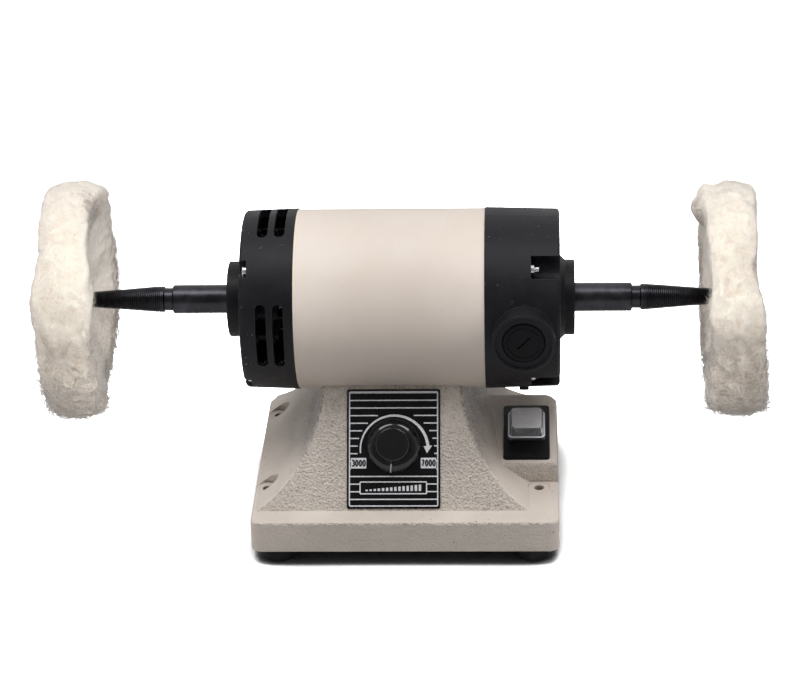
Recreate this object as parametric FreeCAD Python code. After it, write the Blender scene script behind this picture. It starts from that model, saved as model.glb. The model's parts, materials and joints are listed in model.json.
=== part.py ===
import FreeCAD, Part
import math
import os

from FreeCAD import Placement, Rotation, Vector

# Bench polishing lathe: a universal motor in a saddle on a cast pedestal, a tapered spindle and a
# cotton buff at each end, a speed knob on the front slope and a splash-proof switch at the right.
#
# Frame: millimetres. X runs along the motor shaft to the right, Y to the back, Z up. The origin is
# the middle of the base's outline on the surface that the rubber feet stand on.
# "along" means along the motor axis, and radii are taken about it.

# ---- cutters ----------------------------------------------------------------------------------
past = 1.0                     # how far a cutter runs past the face that it opens
hair = 0.01                    # places closer than this count as one
speck = 1.0                    # edges shorter than this stay sharp

# ---- base plate -------------------------------------------------------------------------------
base_width = 204.0
base_depth = 180.0
base_skirt = 21.8              # height of the plate's vertical sides
base_skin = 5.0                # thickness of the plate's top
base_wall = 6.0
front_corner_radius = 7.0
rear_corner_radius = 11.0
base_edge_radius = 1.8
foot_height = 11.0
foot_radius = 12.6
foot_taper = 1.4
foot_inset_x = 17.2            # foot centre from the plate's side
foot_inset_y = 15.5
foot_edge = 1.0
foot_recess_radius = 5.5
foot_recess_depth = 6.0
foot_screw_radius = 2.1
foot_screw_head_radius = 4.4
foot_screw_head_height = 2.8
foot_screw_edge = 1.0
foot_screw_slot = 1.2          # width and depth of the driver slot
foot_screw_reach = 11.0        # thread length inside the casting
screw_tip_gap = 0.5            # between a screw's tip and the bottom of its hole
foot_post_radius = 6.5
cover_plate_thickness = 1.5
cover_plate_lip = 3.2          # width of the casting's rim outside the cover plate
cover_plate_gap = 0.3

# ---- mounting holes ---------------------------------------------------------------------------
mount_hole_radius = 3.3
mount_spacing_x = 182.4
mount_spacing_y = 103.0
mount_centre_x = -2.4
mount_post_radius = 8.0
smallest_corner = 1.0          # of an outline set in from the plate's
spot_face_radius = 7.5
spot_face_sink = 0.3
plate_hole_gap = 1.8           # the cover plate's holes are this much larger in radius

# ---- motor and its place ----------------------------------------------------------------------
axis_height = 149.4
axis_y = 8.4
tube_middle_x = -8.5
tube_length = 124.6
tube_radius = 59.8
tube_wall = 3.0

# ---- pedestal ---------------------------------------------------------------------------------
neck_half_width = 46.6         # at the motor tube
toe_half_width = 91.5          # where the flank's sweep reaches the plate
flank_radius = 86.5
front_toe_inset = 15.7         # plate's front edge to the slope's toe
front_slope = 57.0             # degrees from level
rear_toe_inset = 2.0
rear_neck_y = 34.0             # rear of the neck behind the motor axis, at the tube
rear_slope_at_toe = 45.0
pedestal_wall = 6.0
pedestal_root = 3.0            # how deep the pedestal reaches into the plate's top
pedestal_edge_gap = 0.1        # from the pedestal's side to the rounding of the plate's edge
hollow_edge_gap = 1.0          # from the plate's inside wall to the pedestal's hollow
saddle_wall = 6.5
slope_edge_radius = 3.0
flank_waist = 0.45             # share of the sweep's height where its arc is fixed

# ---- switch block -----------------------------------------------------------------------------
block_front_y = -35.9
block_front_height = 14.2
block_tilt = 8.0
block_length = 80.0            # along its sloping top
block_rear_draft = 12.0
block_side_draft = 4.0
block_rear_corner = 8.0
block_edge_radius = 2.5
block_wall = 4.0

# ---- switch, plate and splash boot ------------------------------------------------------------
switch_plate_width = 31.3
switch_plate_length = 59.6
switch_plate_thickness = 2.0
switch_plate_corner = 2.5
switch_plate_from_side = 5.8   # plate's right edge to the block's side
switch_plate_from_front = 3.9
boot_width = 25.1
boot_length = 29.5
boot_foot_height = 2.6
boot_height = 8.2
boot_top_width = 20.6
boot_top_length = 22.8
boot_wall = 1.0
boot_corner = 2.6
boot_corner_gain = 0.2         # share of the wall by which the inner corners are wider than parallel
boot_ledge_x = 0.8             # step between the boot's foot and its dome
boot_ledge_y = 1.0
boot_edge = 0.9
boot_offset = 4.2              # boot centre beyond the plate's centre, up the slope
switch_plate_edge = 0.6
switch_opening_corner = 1.0
frame_height = 1.3
frame_gap = 0.2                # between the frame and the boot's inside
frame_corner = 1.6
body_width = 20.4
body_length = 25.4
body_depth = 17.0
body_wall = 1.4
body_corner = 0.8
body_gap = 0.3
well_side_gap = 0.8            # beside the rocker
well_end_gap = 1.6             # before and behind the rocker
rocker_width = 13.0
rocker_length = 18.6
rocker_height = 5.4            # crown above the frame's underside
rocker_end_drop = 1.6          # crown to the rocker's two ends
rocker_dip = 2.6               # crown to the valley between its halves
rocker_skirt = 1.5             # below the pin's middle
rocker_rest_tip = 10.0         # degrees, front end down
rocker_pin_radius = 1.2
rocker_pin_sink = 2.0          # pin's middle below the plate's face
rocker_pin_gap = 0.06
rocker_pin_end_gap = 0.2
terminal_width = 4.8
terminal_thickness = 0.8
terminal_length = 9.0
terminal_pitch = 7.0
terminal_corner = 0.2

# ---- speed panel, knob and potentiometer ------------------------------------------------------
panel_width = 61.9
panel_thickness = 0.8
panel_corner = 1.2
panel_from_toe = 1.6           # up the slope
panel_tube_gap = 2.6           # from the panel's upper end to the motor tube
panel_shift = 1.0              # to the right of the tube's middle
knob_above_middle = 1.9        # knob's axis beyond the panel's middle
knob_skirt_radius = 17.8
knob_skirt_rim = 1.0           # height of the skirt's upright edge
knob_skirt_height = 5.0        # where the skirt meets the grip
knob_skirt_crown = 0.9         # bulge of the skirt
knob_grip_radius = 12.0
knob_grip_top_radius = 11.0
knob_height = 16.0
knob_flutes = 12
knob_flute_radius = 1.7
knob_flute_offset = 0.8        # flute's middle outside the foot of the grip
knob_edge = 1.0
knob_gap = 0.6                 # under the skirt
knob_cavity_radius = 8.6
knob_cavity_depth = 6.0
knob_bore_depth = 13.0
pot_radius = 8.2
pot_depth = 9.0
pot_neck_radius = 3.5
pot_neck_proud = 1.2           # beyond its nut
pot_shaft_radius = 3.0
pot_shaft_gap = 0.06
pot_shaft_seat = 4.0           # inside the can
pot_shaft_end_gap = 0.5
pot_nut_radius = 5.6
pot_nut_height = 2.0

# ---- end covers -------------------------------------------------------------------------------
cover_radius = 60.5
cover_draft = 1.3
cover_wall = 4.5
cover_end_wall = 5.0
cover_edge_radius = 2.6
spigot_length = 6.0
spigot_gap = 0.1
spigot_wall = 3.0
spigot_root = 2.0              # how deep the spigot is rooted in the cover's wall
left_cover_length = 35.5
right_cover_length = 49.3
boss_radius = 25.2
left_boss_height = 11.4
right_boss_height = 9.9
left_boss_flare = 1.2
right_boss_flare = 3.4
boss_front_wall = 4.0
boss_edge = 1.0
hub_radius = 21.0
hub_floor = 0.5                # the hub's inner face before the bearing seat
shaft_hole_radius = 10.4
pip_radius = 3.2               # cast pip under the right cover
pip_height = 1.5
pip_edge = 0.9
pip_angle = -63.5              # degrees, 0 is the front and -90 is the bottom

# ---- vents and webs of the left cover ---------------------------------------------------------
vent_width = 7.2
vent_length = 45.0
vent_from_end = (14.3, 25.6)   # centre of each ring of slots from the outer end
web_thickness = 3.0
web_offset = 8.2               # web's middle from the group's middle
web_reach = 47.0
web_length = 23.0
web_root = 1.0                 # from the cover's outer end, and into the hub

# ---- tie bolts --------------------------------------------------------------------------------
tie_circle_radius = 54.2
tie_radius = 2.4
tie_gap = 0.15
tie_head_radius = 3.75
tie_head_height = 2.8
tie_head_edge = 1.2
tie_slot_width = 1.2
tie_slot_depth = 1.1
tie_nut_edge = 0.8
tie_end = 2.4                  # bolt beyond its nut
tie_post_radius = 4.4
left_notch_depth = 5.0
left_notch_radius = 6.0
right_channel_depth = 19.0
right_channel_radius = 8.0
notch_lining = 2.5
notch_floor = 4.5

# ---- brushes ----------------------------------------------------------------------------------
brush_x = 79.2
brush_boss_radius = 20.5
brush_boss_reach = 70.3        # face of the boss from the motor axis
brush_boss_edge = 0.6
brush_recess_radius = 18.9
brush_recess_depth = 2.6
cap_radius = 14.0
cap_gap = 0.3
cap_seat_depth = 8.6
cap_sink = 1.9                 # cap's face inside the boss face
cap_edge = 1.4
cap_groove_radius = 10.6
cap_groove_width = 1.0
cap_groove_depth = 0.7
cap_slot_length = 12.0
cap_slot_width = 1.5
cap_slot_depth = 1.6
cap_slot_turn = 45.0
holder_radius = 7.6
holder_flange_radius = 9.6
holder_flange = 1.6
holder_inner_end = 23.0        # from the motor axis
brush_thickness = 6.0
brush_breadth = 9.0
brush_gap = 0.1
brush_length = 17.0
commutator_gap = 0.3
spring_radius = 2.3
spring_wire = 0.7
spring_turns = 4

# ---- stator -----------------------------------------------------------------------------------
stator_middle_x = -6.0
stator_length = 62.0
stator_radius = 56.6
stator_yoke = 12.0
stator_tie_gap = 0.8
pole_width = 30.0
pole_bore = 29.2
pole_shoe = 5.6
pole_span = 104.0              # degrees
coil_gap = 0.5
coil_breadth = 12.0
coil_overhang = 12.0
coil_outer_corner = 8.0
coil_inner_corner = 1.0

# ---- rotor ------------------------------------------------------------------------------------
shaft_radius = 6.0
shaft_body_radius = 7.0
shaft_stub = 26.0              # beyond each bearing
armature_radius = 28.5
armature_slots = 12
slot_width = 4.0
slot_depth = 8.5
winding_gap = 0.2
winding_end = 13.0
winding_end_radius = 25.0
winding_end_crown = 3.0
winding_sink = 1.5             # top of the coil sides below the drum's face
winding_root = 2.0             # how far the coil sides reach into the end turns
commutator_radius = 18.0
commutator_length = 24.0
commutator_bars = 24
commutator_groove = 0.6
riser_radius = 20.0
riser_length = 3.0
fan_x = -62.0
fan_width = 12.0
fan_radius = 46.0
fan_plate = 1.8
fan_hub_radius = 13.0
fan_blades = 9
fan_blade = 1.8
fan_sweep = 18.0               # degrees that a blade leans from the radius
fan_blade_root = 2.0           # how far a blade reaches into the hub
fan_blade_inset = 0.5          # blade tips inside the plate's rim

# ---- bearings ---------------------------------------------------------------------------------
bearing_radius = 16.0
bearing_width = 10.0
outer_ring_bore = 13.3
inner_ring_radius = 8.7
ball_circle = 11.0
ball_radius = 2.7
ball_count = 7
groove_radius = 3.05
cage_half_width = 0.9
cage_inner = 10.1
cage_outer = 11.9

# ---- spindles ---------------------------------------------------------------------------------
spindle_radius = 9.6
spindle_body = 38.2            # visible length of the plain body
spindle_groove = 6.0
spindle_groove_radius = 7.65
taper_length = 70.0
taper_start_radius = 8.8
taper_end_radius = 3.2
spindle_nose_radius = 8.0
spindle_nose = 1.0
spindle_edge = 0.8
set_screw_radius = 2.5
set_screw_socket_radius = 1.3
set_screw_socket_depth = 1.5
set_screw_from_boss = 9.0
set_screw_sink = 0.3
set_screw_angles = (180, 270)     # at rest, 0 is the front and 90 is the top

# ---- buffs ------------------------------------------------------------------------------------
left_wheel_from_tip = 11.4     # middle of the buff from the spindle's tip
right_wheel_from_tip = 9.7
wheel_radius = 77.5
wheel_width = 34.0
wheel_crown = 7.5              # how far the tread bulges
wheel_edge_radius = 4.0
wheel_dish_radius = 60.0
wheel_hub_width = 9.0
wheel_dish_floor = 22.0
hub_core_radius = 10.0
hub_flange_radius = 17.0
hub_flange = 2.0

# ---- leads and control board ------------------------------------------------------------------
grommet_radius = 8.0
grommet_bore = 4.5
grommet_low_gap = 1.5          # from the saddle's underside
grommet_high_gap = 0.5         # from the tube's inside
saddle_bolt_radius = 3.0
saddle_bolt_head_radius = 5.0
saddle_bolt_head_height = 4.0
saddle_bolt_socket_radius = 2.2
saddle_bolt_socket_floor = 1.6
saddle_bolt_spread = 27.0
saddle_bolt_reach = 10.0
gland_x = -40.0
gland_radius = 5.2
gland_flange_radius = 7.6
gland_flange = 2.0
gland_edge = 0.8
gland_bore = 3.4
gland_inner_radius = 6.1
gland_inner_length = 3.0
board_length = 70.0
board_width = 50.0
board_thickness = 1.6
board_corner = 2.0
board_y = 0.0
standoff_height = 8.0
standoff_radius = 3.0
standoff_inset = 5.0
capacitor_radius = 7.0
capacitor_length = 22.0
capacitor_x = 14.0             # its near end from the board's left edge
capacitor_y = -10.0            # from the board's middle line
heat_sink_x = 12.0
heat_sink_y = 4.0
heat_sink_width = 28.0
heat_sink_height = 16.0
heat_sink_plate = 2.5
heat_sink_fin = 1.5
heat_sink_reach = 8.5          # of a fin beyond the plate
heat_sink_fins = 5
terminal_block_x = 48.0
terminal_block_y = -16.0
terminal_block_length = 16.0
terminal_block_width = 8.0
terminal_block_height = 9.0

# ---- worked out from the sizes above ----------------------------------------------------------
X_DIRECTION = Vector(1, 0, 0)
Y_DIRECTION = Vector(0, 1, 0)
axis_point = Vector(0, axis_y, axis_height)
plate_bottom = foot_height
pad_height = plate_bottom + base_skirt
left_joint_x = tube_middle_x - tube_length / 2
right_joint_x = tube_middle_x + tube_length / 2
left_end_x = left_joint_x - left_cover_length
right_end_x = right_joint_x + right_cover_length
left_face_x = left_end_x - left_boss_height
right_face_x = right_end_x + right_boss_height
spindle_reach = spindle_body + spindle_groove + taper_length
left_wheel_x = left_face_x - spindle_reach + left_wheel_from_tip
right_wheel_x = right_face_x + spindle_reach - right_wheel_from_tip
left_bearing_x = left_face_x + boss_front_wall + bearing_width / 2
right_bearing_x = right_face_x - boss_front_wall - bearing_width / 2
tube_bore = tube_radius - tube_wall
cover_bore = cover_radius - cover_wall
stator_left = stator_middle_x - stator_length / 2
stator_right = stator_middle_x + stator_length / 2
base_front_y = -base_depth / 2
base_rear_y = base_depth / 2
base_right_x = base_width / 2
front_toe_y = base_front_y + front_toe_inset
panel_x = tube_middle_x + panel_shift
slope = math.radians(front_slope)
axis_from_toe = Vector(0, axis_y - front_toe_y, axis_height - pad_height)
axis_up_slope = axis_from_toe.y * math.cos(slope) + axis_from_toe.z * math.sin(slope)
axis_off_panel = axis_from_toe.z * math.cos(slope) - axis_from_toe.y * math.sin(slope) - panel_thickness
tube_up_slope = axis_up_slope - math.sqrt(tube_radius ** 2 - axis_off_panel ** 2)
panel_length = tube_up_slope - panel_tube_gap - panel_from_toe
knob_up_slope = panel_from_toe + panel_length / 2 + knob_above_middle
switch_x = base_right_x - switch_plate_from_side - switch_plate_width / 2
tie_angles = (45, 135, 225, 315)
vent_angles = (0, 90, 180, 270)


# ---- shared forms -----------------------------------------------------------------------------
def rounded_outline(half_x, half_y, front_radius, rear_radius, z):
    """A rectangle about the origin with rounded corners, as a face at height z."""
    arcs = []
    for side, end, radius in ((1, -1, front_radius), (1, 1, rear_radius), (-1, 1, rear_radius),
                              (-1, -1, front_radius)):
        centre = Vector(side * (half_x - radius), end * (half_y - radius), z)
        on_side = centre + Vector(side * radius, 0, 0)
        on_end = centre + Vector(0, end * radius, 0)
        middle = centre + Vector(side, end, 0) * (radius / math.sqrt(2))
        arcs.append((on_side, middle, on_end) if side == end else (on_end, middle, on_side))
    edges = []
    for arc, following in zip(arcs, arcs[1:] + arcs[:1]):
        edges.append(Part.Arc(*arc).toShape())
        edges.append(Part.makeLine(arc[2], following[0]))
    return Part.Face(Part.Wire(edges))


def rectangle(x_size, y_size, corner, z=0.0):
    """A rectangle about the origin with equal corners, as a face at height z."""
    return rounded_outline(x_size / 2, y_size / 2, corner, corner, z)


def slab(x_size, y_size, height, corner, z=0.0):
    """A rounded rectangular plate that rises from height z."""
    return rectangle(x_size, y_size, corner, z).extrude(Vector(0, 0, height))


def cylinder(radius, z_low, z_high, x=0.0, y=0.0):
    """An upright cylinder between two heights."""
    return Part.makeCylinder(radius, z_high - z_low, Vector(x, y, z_low))


def block(x_low, x_high, y_low, y_high, z_low, z_high):
    """A box between two corners."""
    return Part.makeBox(x_high - x_low, y_high - y_low, z_high - z_low, Vector(x_low, y_low, z_low))


def hexagon(radius, z):
    """A regular hexagon about the origin, across its corners, as a face at height z."""
    turns = [math.radians(60 * corner) for corner in range(6)]
    points = [Vector(radius * math.cos(turn), radius * math.sin(turn), z) for turn in turns]
    return Part.Face(Part.makePolygon(points + points[:1]))


def union(shapes):
    """Fuse shapes and drop the seams between coplanar faces."""
    shapes = list(shapes)
    return shapes[0].multiFuse(shapes[1:]).removeSplitter()


def turned(profile):
    """Turn a closed outline of (along, radius) points about the motor axis."""
    points = [axis_point + Vector(x, 0, radius) for x, radius in profile]
    outline = Part.makePolygon(points + points[:1])
    return Part.Face(outline).revolve(axis_point, X_DIRECTION, 360)


def axial(x_low, x_high, outer, inner=0.0):
    """A ring or disc about the motor axis."""
    return turned([(x_low, inner), (x_high, inner), (x_high, outer), (x_low, outer)])


def about_axis(shape, degrees):
    """A copy turned about the motor axis; 0 is the front and 90 is the top."""
    copy = shape.copy()
    copy.rotate(axis_point, X_DIRECTION, -degrees)
    return copy


def radial_rod(radius, reach_low, reach_high, x):
    """A rod that points to the front from the motor axis."""
    start = Vector(x, axis_y - reach_low, axis_height)
    return Part.makeCylinder(radius, reach_high - reach_low, start, Vector(0, -1, 0))


def long_rod(radius, x_low, x_high, degrees, circle):
    """A rod along the motor axis, on a circle about it."""
    start = Vector(x_low, axis_y - circle, axis_height)
    rod = Part.makeCylinder(radius, x_high - x_low, start, X_DIRECTION)
    return about_axis(rod, degrees)


def circles(shape, radius, along=None):
    """The edges that are circles of one radius, and at one place along the motor axis if given."""
    found = []
    for edge in shape.Edges:
        if not isinstance(edge.Curve, Part.Circle) or abs(edge.Curve.Radius - radius) > hair:
            continue
        if along is None or abs(edge.Curve.Center.x - along) < hair:
            found.append(edge)
    return found


def on_slope(shape):
    """Place a form drawn about the knob's axis, z outward, on the pedestal's front slope."""
    y = front_toe_y + knob_up_slope * math.cos(slope)
    z = pad_height + knob_up_slope * math.sin(slope)
    return placed(shape, Vector(panel_x, y, z), front_slope)


def on_block(shape):
    """Place a form drawn about the switch plate's middle, z outward, on the switch block."""
    tilt = math.radians(block_tilt)
    up_slope = switch_plate_from_front + switch_plate_length / 2
    y = block_front_y + up_slope * math.cos(tilt)
    z = pad_height + block_front_height + up_slope * math.sin(tilt)
    return placed(shape, Vector(switch_x, y, z), block_tilt)


def placed(shape, point, degrees):
    """A copy tilted about X and then moved."""
    copy = shape.copy()
    copy.Placement = Placement(point, Rotation(X_DIRECTION, degrees)).multiply(copy.Placement)
    return copy


# ---- base -------------------------------------------------------------------------------------
def plate_outline(inset, z):
    """The base plate's outline as a face, with tighter corners at the front."""
    front = max(front_corner_radius - inset, smallest_corner)
    rear = max(rear_corner_radius - inset, smallest_corner)
    return rounded_outline(base_width / 2 - inset, base_depth / 2 - inset, front, rear, z)


def arc_through(start, start_degrees, end):
    """An arc in the XZ or YZ plane, given as 2-D points, that leaves start at an angle."""
    chord = math.atan2(end[1] - start[1], end[0] - start[0])
    turn = chord - math.radians(start_degrees)
    length = math.dist(start, end)
    sag = length / 2 * math.tan(turn / 2)
    middle = ((start[0] + end[0]) / 2, (start[1] + end[1]) / 2)
    return (middle[0] + sag * math.sin(chord), middle[1] - sag * math.cos(chord))


def flank_x(height, inset):
    """Half width of the pedestal at a height above the pads."""
    centre_x = neck_half_width + flank_radius
    centre_z = math.sqrt(flank_radius ** 2 - (centre_x - toe_half_width) ** 2)
    radius = flank_radius + inset
    return centre_x - math.sqrt(radius ** 2 - (centre_z - height) ** 2)


def flank_solid(inset, depth_below):
    """The pedestal's front view: two sweeps that meet the plate, drawn out along Y."""
    centre_x = neck_half_width + flank_radius
    centre_z = math.sqrt(flank_radius ** 2 - (centre_x - toe_half_width) ** 2)
    radius = flank_radius + inset
    low = -depth_below
    middle = centre_z * flank_waist
    top = axis_height - pad_height
    tips = {side: Vector(side * flank_x(low, inset), 0, low) for side in (-1, 1)}
    waists = {side: Vector(side * flank_x(middle, inset), 0, middle) for side in (-1, 1)}
    necks = {side: Vector(side * (centre_x - radius), 0, centre_z) for side in (-1, 1)}
    heads = {side: Vector(side * (centre_x - radius), 0, top) for side in (-1, 1)}
    edges = [
        Part.makeLine(tips[-1], tips[1]),
        Part.Arc(tips[1], waists[1], necks[1]).toShape(),
        Part.makeLine(necks[1], heads[1]),
        Part.makeLine(heads[1], heads[-1]),
        Part.makeLine(heads[-1], necks[-1]),
        Part.Arc(necks[-1], waists[-1], tips[-1]).toShape(),
    ]
    face = Part.Face(Part.Wire(edges))
    face.translate(Vector(tube_middle_x, base_front_y, pad_height))
    return face.extrude(Vector(0, base_depth, 0))


def slope_solid(inset, depth_below):
    """The pedestal's side view: a flat front slope and a hollow rear sweep, drawn out along X."""
    top = axis_height - pad_height
    shift = inset / math.sin(slope)
    front_low = front_toe_y + shift - depth_below / math.tan(slope)
    front_high = front_toe_y + shift + top / math.tan(slope)
    rear_toe = (base_rear_y - rear_toe_inset - inset * math.sqrt(2), 0)
    drop = tube_radius ** 2 - rear_neck_y ** 2
    rear_neck = (axis_y + rear_neck_y - inset, top - math.sqrt(drop))
    rear_arc = arc_through(rear_toe, 180 - rear_slope_at_toe, rear_neck)
    heading = math.radians(rear_slope_at_toe)
    rear_low = (rear_toe[0] + depth_below / math.tan(heading), -depth_below)
    edges = [
        Part.makeLine(Vector(0, front_low, -depth_below), Vector(0, front_high, top)),
        Part.makeLine(Vector(0, front_high, top), Vector(0, rear_neck[0], top)),
        Part.makeLine(Vector(0, rear_neck[0], top), Vector(0, *rear_neck)),
        Part.Arc(Vector(0, *rear_neck), Vector(0, *rear_arc), Vector(0, *rear_toe)).toShape(),
        Part.makeLine(Vector(0, *rear_toe), Vector(0, *rear_low)),
        Part.makeLine(Vector(0, *rear_low), Vector(0, front_low, -depth_below)),
    ]
    face = Part.Face(Part.Wire(edges))
    face.translate(Vector(-base_width, 0, pad_height))
    return face.extrude(Vector(2 * base_width, 0, 0))


def front_slope_edges(shape):
    """The two edges where the front slope meets the flanks."""
    normal = Vector(0, -math.sin(slope), math.cos(slope))
    found = []
    for face in shape.Faces:
        if isinstance(face.Surface, Part.Plane) and face.normalAt(0, 0).isEqual(normal, hair):
            found += [edge for edge in face.Edges if abs(edge.CenterOfMass.x - tube_middle_x) > neck_half_width / 2]
    return found


def pedestal_form():
    """Outside of the pedestal, from inside the plate's top up to the motor tube."""
    form = flank_solid(0, pedestal_root).common(slope_solid(0, pedestal_root))
    form = form.makeFillet(slope_edge_radius, front_slope_edges(form))
    above = block(-base_width, base_width, -base_depth, base_depth, pad_height, axis_height)
    inset = base_edge_radius + pedestal_edge_gap
    inside = plate_outline(inset, pad_height - base_skin).extrude(Vector(0, 0, base_skin + axis_height))
    form = form.common(inside.fuse(above.common(inside)))
    return form.cut(axial(-base_width, base_width, tube_radius))


def pedestal_hollow():
    """Inside of the pedestal, open downwards into the plate."""
    depth = base_skin + past
    hollow = flank_solid(pedestal_wall, depth).common(slope_solid(pedestal_wall, depth))
    room = plate_outline(base_wall + hollow_edge_gap, plate_bottom).extrude(Vector(0, 0, axis_height))
    return hollow.common(room).cut(axial(-base_width, base_width, tube_radius + saddle_wall))


def block_section(wall, depth_below):
    """Side view of the switch block, as a face in the YZ plane."""
    tilt = math.radians(block_tilt)
    draft = math.tan(math.radians(block_rear_draft))
    rise = block_length * math.sin(tilt)
    crest_y = block_front_y + block_length * math.cos(tilt)
    low = pad_height - depth_below
    front = block_front_y + wall
    crest = crest_y - wall
    front_top = pad_height + block_front_height + wall * math.tan(tilt) - wall / math.cos(tilt)
    crest_top = pad_height + block_front_height + rise - wall * math.tan(tilt) - wall / math.cos(tilt)
    rear = crest + (crest_top - low) * draft
    corners = [(front, low), (front, front_top), (crest, crest_top), (rear, low)]
    points = [Vector(0, y, z) for y, z in corners]
    return Part.Face(Part.makePolygon(points + points[:1]))


def block_form():
    """Outside of the switch block, which rises from the plate's right side."""
    left_x = tube_middle_x + neck_half_width
    form = block_section(0, base_skin).extrude(Vector(base_right_x - left_x, 0, 0))
    form.translate(Vector(left_x, 0, 0))
    form = form.cut(side_draft())
    corner = max(form.Edges, key=lambda edge: edge.CenterOfMass.x + edge.CenterOfMass.y)
    form = form.makeFillet(block_rear_corner, [corner])
    top = max(form.Faces, key=lambda face: face.CenterOfMass.z)
    outer = [edge for edge in top.Edges if edge.CenterOfMass.x > left_x + past]
    return form.makeFillet(block_edge_radius, outer)


def side_draft():
    """Cutter that leans the block's right side inwards from the plate up."""
    rise = axis_height - pad_height
    lean = rise * math.tan(math.radians(block_side_draft))
    outside = base_right_x + past
    corners = [(base_right_x, pad_height), (outside, pad_height), (outside, axis_height),
               (base_right_x - lean, axis_height)]
    points = [Vector(x, -base_depth, z) for x, z in corners]
    return Part.Face(Part.makePolygon(points + points[:1])).extrude(Vector(0, 2 * base_depth, 0))


def block_hollow():
    """Inside of the switch block."""
    left_x = tube_middle_x + neck_half_width - pedestal_wall
    right_x = base_right_x - base_wall
    form = block_section(block_wall, base_skin + past).extrude(Vector(right_x - left_x, 0, 0))
    form.translate(Vector(left_x, 0, 0))
    return form


def mount_points():
    """Centres of the four mounting holes."""
    return [(mount_centre_x + i * mount_spacing_x / 2, axis_y + j * mount_spacing_y / 2)
            for i in (-1, 1) for j in (-1, 1)]


def foot_points():
    """Centres of the four feet."""
    x = base_width / 2 - foot_inset_x
    y = base_depth / 2 - foot_inset_y
    return [(i * x, j * y) for i in (-1, 1) for j in (-1, 1)]


def base_casting():
    """Hollow casting: plate, pedestal with motor saddle, switch block, posts and their holes."""
    plate = plate_outline(0, plate_bottom).extrude(Vector(0, 0, base_skirt))
    rim = [edge for edge in plate.Edges
           if edge.BoundBox.ZMin > pad_height - hair and edge.Length > speck]
    plate = plate.makeFillet(base_edge_radius, rim)
    casting = union([plate, pedestal_form(), block_form()])
    envelope = casting.copy()

    ledge = plate_bottom + cover_plate_thickness
    height = base_skirt - cover_plate_thickness - base_skin
    hollow = plate_outline(base_wall, ledge).extrude(Vector(0, 0, height))
    casting = casting.cut(hollow).cut(pedestal_hollow()).cut(block_hollow())
    seat = plate_outline(cover_plate_lip, plate_bottom - past)
    casting = casting.cut(seat.extrude(Vector(0, 0, cover_plate_thickness + past)))

    places = [(x, y, mount_post_radius) for x, y in mount_points()]
    places += [(x, y, foot_post_radius) for x, y in foot_points()]
    posts = [cylinder(radius, ledge, axis_height, x, y).common(envelope) for x, y, radius in places]
    casting = union([casting] + posts)

    for x, y in mount_points():
        casting = casting.cut(cylinder(mount_hole_radius, plate_bottom - past, pad_height + past, x, y))
        face = pad_height - spot_face_sink
        casting = casting.cut(cylinder(spot_face_radius, face, pad_height + block_front_height, x, y))
    for x, y in foot_points():
        casting = casting.cut(cylinder(foot_screw_radius, plate_bottom, ledge + foot_screw_reach, x, y))

    casting = casting.cut(on_slope(cylinder(pot_neck_radius, -pedestal_wall * 3, past)))
    casting = casting.cut(on_block(switch_opening()))
    casting = casting.cut(lead_hole(grommet_radius))
    for side in (-1, 1):
        x = tube_middle_x + side * saddle_bolt_spread
        casting = casting.cut(cylinder(saddle_bolt_radius, pad_height, axis_height, x, axis_y))
    return casting.cut(gland_ring(gland_radius, base_rear_y - base_wall - past, base_rear_y + past))


def lead_hole(radius):
    """The hole for the motor leads, through the saddle and the tube's wall."""
    low = axis_height - tube_radius - saddle_wall - 2 * past
    high = axis_height - tube_bore + 2 * past
    return cylinder(radius, low, high, tube_middle_x, axis_y)


def bottom_cover_plate():
    """Sheet that closes the base, seated in the casting's rim."""
    inset = cover_plate_lip + cover_plate_gap
    plate = plate_outline(inset, plate_bottom).extrude(Vector(0, 0, cover_plate_thickness))
    low = plate_bottom - past
    high = plate_bottom + cover_plate_thickness + past
    for x, y in mount_points():
        plate = plate.cut(cylinder(mount_hole_radius + plate_hole_gap, low, high, x, y))
    for x, y in foot_points():
        plate = plate.cut(cylinder(foot_screw_radius, low, high, x, y))
    return plate


def rubber_foot(x, y):
    """A tapered foot with a recess for its screw."""
    foot = Part.makeCone(foot_radius - foot_taper, foot_radius, foot_height)
    sole = [edge for edge in foot.Edges if edge.BoundBox.ZMax < hair and edge.Length > speck]
    foot = foot.makeChamfer(foot_edge, sole)
    foot = foot.cut(cylinder(foot_recess_radius, -past, foot_recess_depth))
    foot = foot.cut(cylinder(foot_screw_radius, -past, foot_height + past))
    foot.translate(Vector(x, y, 0))
    return foot


def foot_screw(x, y):
    """Pan-head screw from the foot's recess up into the casting."""
    head_low = foot_recess_depth - foot_screw_head_height
    head = cylinder(foot_screw_head_radius, head_low, foot_recess_depth)
    rim = [edge for edge in head.Edges if edge.BoundBox.ZMax < head_low + hair]
    head = head.makeChamfer(foot_screw_edge, rim)
    reach = foot_screw_head_radius + past
    half = foot_screw_slot / 2
    head = head.cut(block(-reach, reach, -half, half, head_low - past, head_low + foot_screw_slot))
    tip = plate_bottom + cover_plate_thickness + foot_screw_reach - screw_tip_gap
    screw = head.fuse(cylinder(foot_screw_radius, foot_recess_depth, tip))
    screw.translate(Vector(x, y, 0))
    return screw


def gland_ring(radius, y_low, y_high):
    """A disc on the cable gland's axis, midway between cover plate and skin."""
    z = (plate_bottom + cover_plate_thickness + pad_height - base_skin) / 2
    return Part.makeCylinder(radius, y_high - y_low, Vector(gland_x, y_low, z), Y_DIRECTION)


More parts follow.
